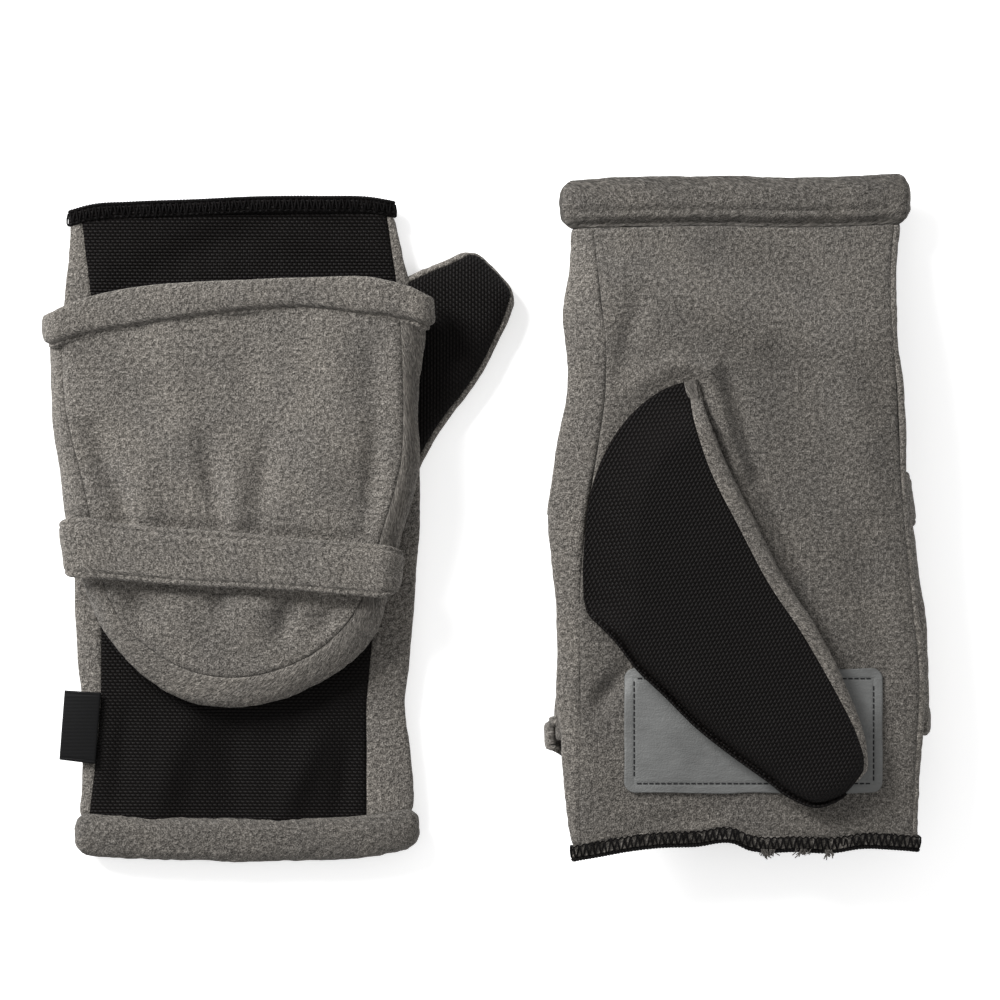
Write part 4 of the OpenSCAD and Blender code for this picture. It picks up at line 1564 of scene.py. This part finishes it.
@dataclass
class FoldedThumb:
    """The right mitten's thumb, growing out of the palm and folded across it."""

    mitten: Mitten
    finishes: Finishes
    levels: Levels
    rim: Sequence[tuple[float, float]] = (
        (46.4, 24.0), (45.0, 28.4), (41.0, 32.2), (36.8, 36.4), (30.6, 44.4), (22.2, 52.4), (12.0, 62.4),
        (3.4, 69.2), (-8.1, 77.6), (-15.0, 82.8), (-22.6, 85.6), (-28.6, 83.8), (-34.8, 79.4),
        (-37.6, 75.6), (-37.8, 71.0), (-36.6, 64.6), (-31.6, 51.0), (-22.4, 32.6), (-12.0, 16.6),
        (-3.0, -1.4), (3.6, -14.6), (7.0, -22.6), (11.0, -33.4), (13.0, -41.4))
    edge_width: Table = ((0.0, 0.03), (0.38, 0.03), (0.43, 0.4), (0.48, 1.2), (0.53, 2.4), (0.6, 4.0),
                         (0.75, 4.9), (0.94, 4.6), (1.0, 2.6))
    root: Sequence[tuple[float, float]] = (
        (15.4, -40.2), (21.4, -38.4), (30.0, -32.8), (37.5, -23.8), (42.0, -14.7), (44.6, -5.4),
        (45.8, 6.3), (46.2, 15.3), (45.8, 24.0))
    depth: float = 7.0
    knit_t: float = 1.0
    fleece_t: float = 1.6

    def top(self, x: Array, y: Array) -> Array:
        """Height of the knit face over the palm's outer face, away from the rim.

        Args:
            x: Places across the mitten.
            y: Places along it.

        Returns:
            The height at each place.
        """
        rise = 0.1 + 0.9 * ease(self.from_root(np.stack([x, y], axis=-1)) / 16)
        full = 0.5 - self.levels.palm + (self.depth - 0.8 * ease((y - 50) / 30)) * rise
        return full + 0.3 * SLACK.at(x, y, 13)

    def from_root(self, plan: Array) -> Array:
        """Distance from the seam that joins the thumb to the palm."""
        return distance_to(plan, spline(self.root, np.linspace(0, 1, 40)))

    def build(self) -> None:
        """Builds the thumb's knit face, its fleece face and the fleece edge along its inner side."""
        f, m = self.finishes, self.mitten
        at = shares(290, 0.8)
        pocket = Pocket(spline(self.rim, at), -self.levels.palm + 0.5, self.top, 6.5, 0.4, -1)
        heart = (5, 25, -3.5)
        inward = pocket.inward()
        width = smooth(self.edge_width, run_of(pocket.rim) / run_of(pocket.rim)[-1])
        knit_line = pocket.rim + inward * (width - 0.6 * ease((0.8 - width) / 0.6))[:, None]
        corners = (0.395, 0.485)
        root = list(reversed(self.root))
        upper = pocket.panel(knit_line, corners, True, 0.8, root)
        lower = pocket.panel(pocket.rim + inward * 4.0, corners, False, 1.1, root)
        lower[..., 2] += 3.2 * (1 - ease(self.from_root(lower[..., :2]) / 10))
        tuck = 0.9 * (1 - ease((width - 0.3) / 0.8))
        pocket.rim = pocket.rim + inward * tuck[:, None]
        band = pocket.band(inward, np.maximum(width - tuck, 0.03) + 0.5, 4.2, 0.6)
        band[..., 2] += 2.4 * (1 - ease(self.from_root(band[..., :2]) / 12)) * (band[..., 1] > 0)
        pieces = (("thumb_knit_cloth", upper, self.knit_t, Surface.KNIT, f.knit, "stretch_knit",
                   ("thumb_back",)),
                  ("thumb_palm_cloth", lower, self.fleece_t, Surface.FLEECE, f.fleece, "fleece",
                   ("thumb_front",)),
                  ("thumb_edge_cloth", band, self.fleece_t, Surface.FLEECE,
                   f.fleece, "fleece", ()))
        turn = math.radians(-58)
        c, s = math.cos(turn), math.sin(turn)
        for name, grid, thick, surface, finish, slot, nodes in pieces:
            parts = Parts()
            along = np.stack([grid[..., 0] * c - grid[..., 1] * s, grid[..., 0] * s + grid[..., 1] * c],
                             axis=2)
            parts.sheet(grid, thick, surface, heart, along if "edge" not in name else None, roll=0.8)
            piece = m.build(name, parts, finish, slot, *nodes)
            m.place.point(23, -4, -3)
            m.place.point(-12, 48, -3)
            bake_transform(piece)


# ---------------------------------------------------------------------------------------------------
# Trim
# ---------------------------------------------------------------------------------------------------


@dataclass
class GripPatch:
    """The synthetic leather patch on the palm, with a stitched line inside its edge."""

    mitten: Mitten
    finishes: Finishes
    body: GloveBody
    middle: tuple[float, float] = (-3.9, 63.9)
    half: tuple[float, float] = (38.7, 18.6)
    corner: float = 3.2
    inset: float = 2.9
    thick: float = 0.7
    pitch: float = 1.8

    def face(self, x: Array, y: Array) -> Array:
        """Height of the patch's outer face.

        Args:
            x: Places across the mitten.
            y: Places along it.

        Returns:
            The height at each place.
        """
        gap = np.minimum(self.half[0] - np.abs(x - self.middle[0]),
                         self.half[1] - np.abs(y - self.middle[1]))
        level = self.body.face(x, y, -1)
        flat_level = self.body.levels.palm
        level = level if self.mitten.place.turned else flat_level + 0 * level
        return level - self.thick + groove(gap - self.inset, 0.14, 0.45)

    def build(self) -> None:
        """Builds the patch and its stitches."""
        m, (cx, cy), (hx, hy) = self.mitten, self.middle, self.half
        v = shares(2 * hy, 0.9, (self.inset, 2 * hy - self.inset))
        u = shares(2 * hx, 0.9, (self.inset, 2 * hx - self.inset))
        y = (2 * v - 1) * hy
        past = np.clip(np.abs(y) - (hy - self.corner), 0, self.corner)
        reach = hx - self.corner + np.sqrt(self.corner**2 - past**2)
        x = (2 * u - 1)[None] * reach[:, None]
        rows = y[:, None] + 0 * x
        plan_x = cx + x + 0.25 * SLACK.at(rows, x * 0 + 3, 8)
        plan_y = cy + rows + 0.25 * SLACK.at(x, rows * 0 + 8, 9)
        grid = np.dstack([plan_x, plan_y, self.face(plan_x, plan_y)])
        parts = Parts()
        parts.sheet(grid, self.thick, Surface.SMOOTH, (cx, cy, 9), grid[..., :2], roll=0.5)
        m.ride(m.build("grip_patch_leather", parts, self.finishes.leather, "grip_leather", "grip_patch"),
               "glove")
        thread = Parts()
        ix, iy = hx - self.inset, hy - self.inset
        for a, b in (((-ix, -iy), (ix, -iy)), ((ix, -iy), (ix, iy)), ((ix, iy), (-ix, iy)),
                     ((-ix, iy), (-ix, -iy))):
            t = np.linspace(0, 1, 60)[:, None]
            flat = np.array(a) * (1 - t) + np.array(b) * t + np.array([cx, cy])
            line = np.column_stack([flat, self.face(flat[:, 0], flat[:, 1]) - 0.02])
            stitches(thread, line, self.pitch, 0.7, 0.24)
        m.ride(m.build("patch_stitches", thread, self.finishes.patch_thread, "patch_thread",
                       "patch_stitching"), "glove")


@dataclass
class SideLabel:
    """A plain flap of woven tape, folded in two and sewn into the seam of the left mitten."""

    mitten: Mitten
    finishes: Finishes
    level: float
    corners: Sequence[tuple[float, float]] = ((-41.9, -48.9), (-53.0, -48.2), (-54.6, -69.1), (-43.6, -70.4))

    def build(self) -> None:
        """Builds the flap with its folded outer end and its woven edge ribs."""
        a, b, c, d = (np.array(p) for p in self.corners)
        u, v = shares(11.2, 0.5, (10.2,)), shares(21.4, 0.7, (0.9, 20.5))
        plan = coons(a + u[:, None] * (b - a), d + u[:, None] * (c - d), a + v[:, None] * (d - a),
                     b + v[:, None] * (c - b))
        out = u[None, :] + 0 * v[:, None]
        droop = 0.9 * out**2 - 0.25 * np.sin(v * math.pi)[:, None] * out
        ribs = groove(np.minimum(v, 1 - v)[:, None] * 21.4 - 0.9, 0.08, 0.25)
        grid = np.dstack([plan, self.level + 0.95 - droop - ribs])
        parts = Parts()
        parts.sheet(grid, 0.75, Surface.SMOOTH, (-48, -60, 0), plan, roll=0.5)
        piece = self.mitten.build("label_tape", parts, self.finishes.tape, "woven_label", "side_label")
        self.mitten.ride(piece, "label")


# ---------------------------------------------------------------------------------------------------
# Studio
# ---------------------------------------------------------------------------------------------------


@dataclass
class Studio:
    """White floor, soft lights and a camera that looks straight down."""

    view_width: float = 0.300
    view_middle: tuple[float, float] = (0.003, 0.0071)
    aim_height: float = 0.014
    lens: float = 300.0
    sensor: float = 36.0
    floor_glow: float = 0.5

    def floor(self) -> None:
        """A large plain floor, faintly uneven like a painted board."""
        half = 3.0
        mesh = bpy.data.meshes.new("floor")
        mesh.from_pydata([(-half, -half, 0), (half, -half, 0), (half, half, 0), (-half, half, 0)], [],
                         [(0, 1, 2, 3)])
        n = Nodes("floor paint")
        white = n.ramp(n.noise(n.flat, 0.4), [(0.0, (0.93, 0.93, 0.93)), (1.0, (0.95, 0.95, 0.95))])
        n.put(n.shader.inputs["Base Color"], white)
        n.shader.inputs["Roughness"].default_value = 0.9
        n.shader.inputs["Specular IOR Level"].default_value = 0.1
        n.put(n.shader.inputs["Emission Color"], white)
        n.shader.inputs["Emission Strength"].default_value = self.floor_glow
        mesh.materials.append(n.material)
        board = bpy.data.objects.new("floor", mesh)
        board.location.z = -0.0003
        bpy.context.scene.collection.objects.link(board)

    def light(self, name: str, place: tuple[float, float, float], size: float, watts: float) -> None:
        """A soft square light that faces the mittens.

        Args:
            name: Its name.
            place: Where it stands, in metres.
            size: Width of its face, in metres.
            watts: Its strength.
        """
        data = bpy.data.lights.new(name, "AREA")
        data.size = size
        data.energy = watts
        lamp = bpy.data.objects.new(name, data)
        lamp.location = place
        lamp.rotation_euler = (-Vector(place)).to_track_quat("-Z", "Y").to_euler()
        bpy.context.scene.collection.objects.link(lamp)

    def camera(self) -> None:
        """The camera, far enough away to show the pair almost without perspective."""
        data = bpy.data.cameras.new("camera")
        data.lens = self.lens
        data.sensor_width = self.sensor
        rise = self.view_width * self.lens / self.sensor
        camera = bpy.data.objects.new("camera", data)
        camera.location = (*self.view_middle, self.aim_height + rise)
        data.clip_end = 2 * rise + 10
        bpy.context.scene.collection.objects.link(camera)
        bpy.context.scene.camera = camera

    def build(self) -> None:
        """Sets up the whole studio."""
        self.camera()
        self.floor()
        world = bpy.data.worlds.new("studio")
        world.use_nodes = True
        world.node_tree.nodes["Background"].inputs["Color"].default_value = (1, 1, 1, 1)
        world.node_tree.nodes["Background"].inputs["Strength"].default_value = 0.5
        bpy.context.scene.world = world
        bpy.context.scene.view_settings.view_transform = "Standard"
        self.light("key light", (-0.95, 0.85, 0.75), 0.6, 40.0)
        self.light("fill light", (0.9, -0.4, 1.1), 1.0, 3.0)


# ---------------------------------------------------------------------------------------------------
# The pair
# ---------------------------------------------------------------------------------------------------


def place_of(side: str, turned: bool) -> Placement:
    """Works out where a mitten's own frame lies, from its packed hood hem and grip patch.

    Args:
        side: Left or right.
        turned: Whether the mitten lies palm up.

    Returns:
        The frame's place.
    """
    hem_middle_x, hem_y = -0.5, 75.5
    low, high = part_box(f"{side}_hood_hem")
    patch_low, patch_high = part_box(f"{side}_grip_patch")
    way = -1 if turned else 1
    x = (low.x + high.x) / 2 - way * hem_middle_x * MM
    y = (low.y if turned else high.y) - way * hem_y * MM
    return Placement((x, y, patch_high.z if turned else patch_low.z), turned)


def left_mitten(finishes: Finishes) -> None:
    """Builds the left mitten, back up.

    Args:
        finishes: The materials that the cloths share.
    """
    mitten = Mitten("left", place_of("left", False))
    levels = Levels.read(mitten)
    body = GloveBody(
        mitten, finishes, levels,
        thumb_edge=((-88, 52.2), (-81, 52.0), (-60, 49.6), (-42, 50.2), (-16, 52.0), (20, 54.0),
                    (60, 53.2), (72, 52.0), (91, 47.2), (100, 45.4)),
        outer_edge=((-88, -48.6), (-73, -48.0), (-51, -48.3), (-27, -49.3), (0, -51), (40, -53),
                    (72, -53.5), (91, -52.0), (100, -51.6)),
        back_thumb_seam=((-88, 38.0), (-50, 38.2), (-36, 39.3), (0, 42.0), (40, 46.0), (73, 47.4),
                         (90, 45.0), (100, 43.6)),
        back_outer_seam=((-88, -45.8), (-70, -43.8), (-48, -42.2), (-39, -42.0), (20, -43.5), (72, -45.2),
                         (91, -47.4), (100, -48.4)),
        palm_thumb_seam=((-88, 44.4), (-45, 41.0), (0, 45.4), (40, 47.0), (72, 47.0), (100, 43.6)),
        finger_line=((-52, 95.4), (-45, 97.2), (-33, 98.0), (-14, 98.7), (6, 99.6), (24, 99.7),
                     (40.5, 99.2), (46, 98.2)),
        wrist_line=((-52, 1.8), (-40, 0.6), (-20, -0.2), (0, -0.6), (20, -0.4), (35, 0.3), (46, 1.6),
                    (54, 3.4)),
        hem_span=(-98.9, -86.2),
        back_folds=(Fold((-26, -86), (-16, -56), 6, 1.8), Fold((-2, -87), (-4, -58), 5, -1.4),
                    Fold((12, -86), (24, -60), 5, 1.6), Fold((30, -86), (34, -66), 4, -1.2),
                    Fold((-38, -80), (-34, -56), 4, -1.2), Fold((-34, 76), (8, 93), 6, -1.3),
                    Fold((4, 84), (40, 78), 6, -1.2), Fold((14, 94), (40, 90), 4, -0.8)))
    body.build()
    Hood(mitten, finishes, levels, (
        Fold((-44, 30), (-35, 4), 3.6, -2.6), Fold((-30, 20), (-27, 2), 5.0, 1.6),
        Fold((-36, 12), (-33, 2), 2.8, -1.8), Fold((-10, 26), (-6, 3), 3.6, -2.6),
        Fold((-2, 20), (-1, 2), 3.4, 1.4), Fold((8, 26), (6, 2), 3.4, -2.0), Fold((22, 34), (24, 4), 7, 1.4),
        Fold((41, 30), (38, 0), 3.4, -2.2), Fold((-50, 3.2), (46, -4), 2.4, -1.3),
        Fold((-46, -15.5), (44, -21.5), 2.2, -1.2), Fold((-34, -17), (-29, -27), 3.2, -2.8),
        Fold((-20, -18), (-16, -30), 4.2, 1.2), Fold((-8, -18), (-5, -26), 3.0, -2.2),
        Fold((4, -20), (5, -32), 4.0, 1.0), Fold((14, -20), (13, -30), 3.0, -2.6),
        Fold((28, -22), (24, -30), 3.2, -1.6), Fold((-46, 50), (-26, 34), 6, -1.8),
        Fold((-22, 58), (-16, 34), 6, 1.2), Fold((2, 60), (4, 36), 7, -1.2),
        Fold((26, 58), (34, 24), 6, 1.5), Fold((40, 56), (41, 36), 4, -1.4))).build()
    Strap(mitten, finishes, levels, thumb_reach=-2.2, outer_reach=1.6).build()
    SideThumb(mitten, finishes).build()
    GripPatch(mitten, finishes, body).build()
    SideLabel(mitten, finishes, levels.back).build()


def right_mitten(finishes: Finishes) -> None:
    """Builds the right mitten, palm up, with its hood and strap beneath it.

    Args:
        finishes: The materials that the cloths share.
    """
    mitten = Mitten("right", place_of("right", True))
    levels = Levels.read(mitten)
    body = GloveBody(
        mitten, finishes, levels,
        thumb_edge=((-88, 50.6), (-75, 51.0), (-54, 53.0), (-42, 51.4), (-18, 55.0), (-6, 56.6), (24, 56.0),
                    (54, 54.8), (78, 53.4), (100, 49.6)),
        outer_edge=((-88, -48.4), (-78, -47.3), (-36, -48.6), (-15, -49.6), (24, -53.1), (51, -55.4),
                    (66, -54.6), (100, -53.2)),
        back_thumb_seam=((-88, 38.0), (-45, 38.5), (0, 41.5), (40, 45.5), (72, 47.0), (100, 43.9)),
        back_outer_seam=((-88, -44.5), (-45, -42.2), (20, -43.5), (72, -46.0), (100, -47.0)),
        palm_thumb_seam=((-88, 44.4), (-70, 42.4), (-54, 40.8), (-36, 40.8), (-21, 42.9), (0, 46.2),
                         (24, 48.6), (54, 48.2), (84, 48.6), (100, 47.6)),
        finger_line=((-53.4, 99.3), (-46, 98.7), (-36, 98.4), (-28, 99.6), (-16, 99.3), (-6, 99.4),
                     (-2.5, 98.8), (1.5, 97.0), (14, 97.8), (24, 98.1), (34, 99.3), (42, 100.8),
                     (50, 102.2)),
        wrist_line=((-54, -1.4), (-40, -0.4), (-10, 0.2), (10, -0.2), (35, 0.2), (54, 0.6)),
        hem_span=(-102.2, -87.0), hem_grooves=(-92.2, -88.6), sag=11.0,
        hem_levels=(-1.6, 9.0), hem_bulge=3.7,
        loose_ends=(-7.0, -9.5, -18.6, -26.0),
        palm_folds=(Fold((9.5, -44), (1, -14), 3.2, 2.6), Fold((1, -14), (-12, 16), 3.6, 1.6),
                    Fold((9.5, -44), (20, -46), 3.2, 2.4), Fold((20, -46), (34, -38), 3.6, 1.6),
                    Fold((4, -42), (-5, -12), 2.6, -1.6), Fold((-5, -12), (-18, 20), 3.0, -1.2),
                    Fold((30, -66), (37, -44), 4.0, -2.0), Fold((48, -30), (50, 10), 3.6, 1.0),
                    Fold((34, -76), (-4, -54), 6, 2.8), Fold((-4, -54), (-34, -30), 7, -2.4),
                    Fold((4, -80), (-34, -62), 6, -2.6), Fold((-30, -50), (-40, -10), 7, 2.2),
                    Fold((-36, 10), (-42, 44), 6, -1.8), Fold((46, 58), (34, 46), 3.2, -2.6),
                    Fold((48, 66), (40, 92), 4, 0.4), Fold((-44, 60), (-47, 92), 3.6, -1.4),
                    Fold((-30, 93), (0, 91), 3.0, 0.4), Fold((6, 92), (30, 94), 3.0, -1.0)),
        bound_with_knit=False, palm_inset=1.5)
    body.build()
    Hood(mitten, finishes, levels, (Fold((-30, 20), (30, 16), 8, 0.2),),
         hem_ends=(-56.6, 58.0)).build()
    Strap(mitten, finishes, levels, thumb_reach=6.6, thumb_rise=7.5, outer_reach=2.5).build()
    FoldedThumb(mitten, finishes, levels).build()
    GripPatch(mitten, finishes, body).build()


def main() -> None:
    """Builds the studio and both mittens, and reports each piece."""
    logging.basicConfig(level=logging.INFO, format="%(message)s")
    Studio().build()
    finishes = Finishes()
    left_mitten(finishes)
    right_mitten(finishes)


if __name__ == "__main__":
    main()
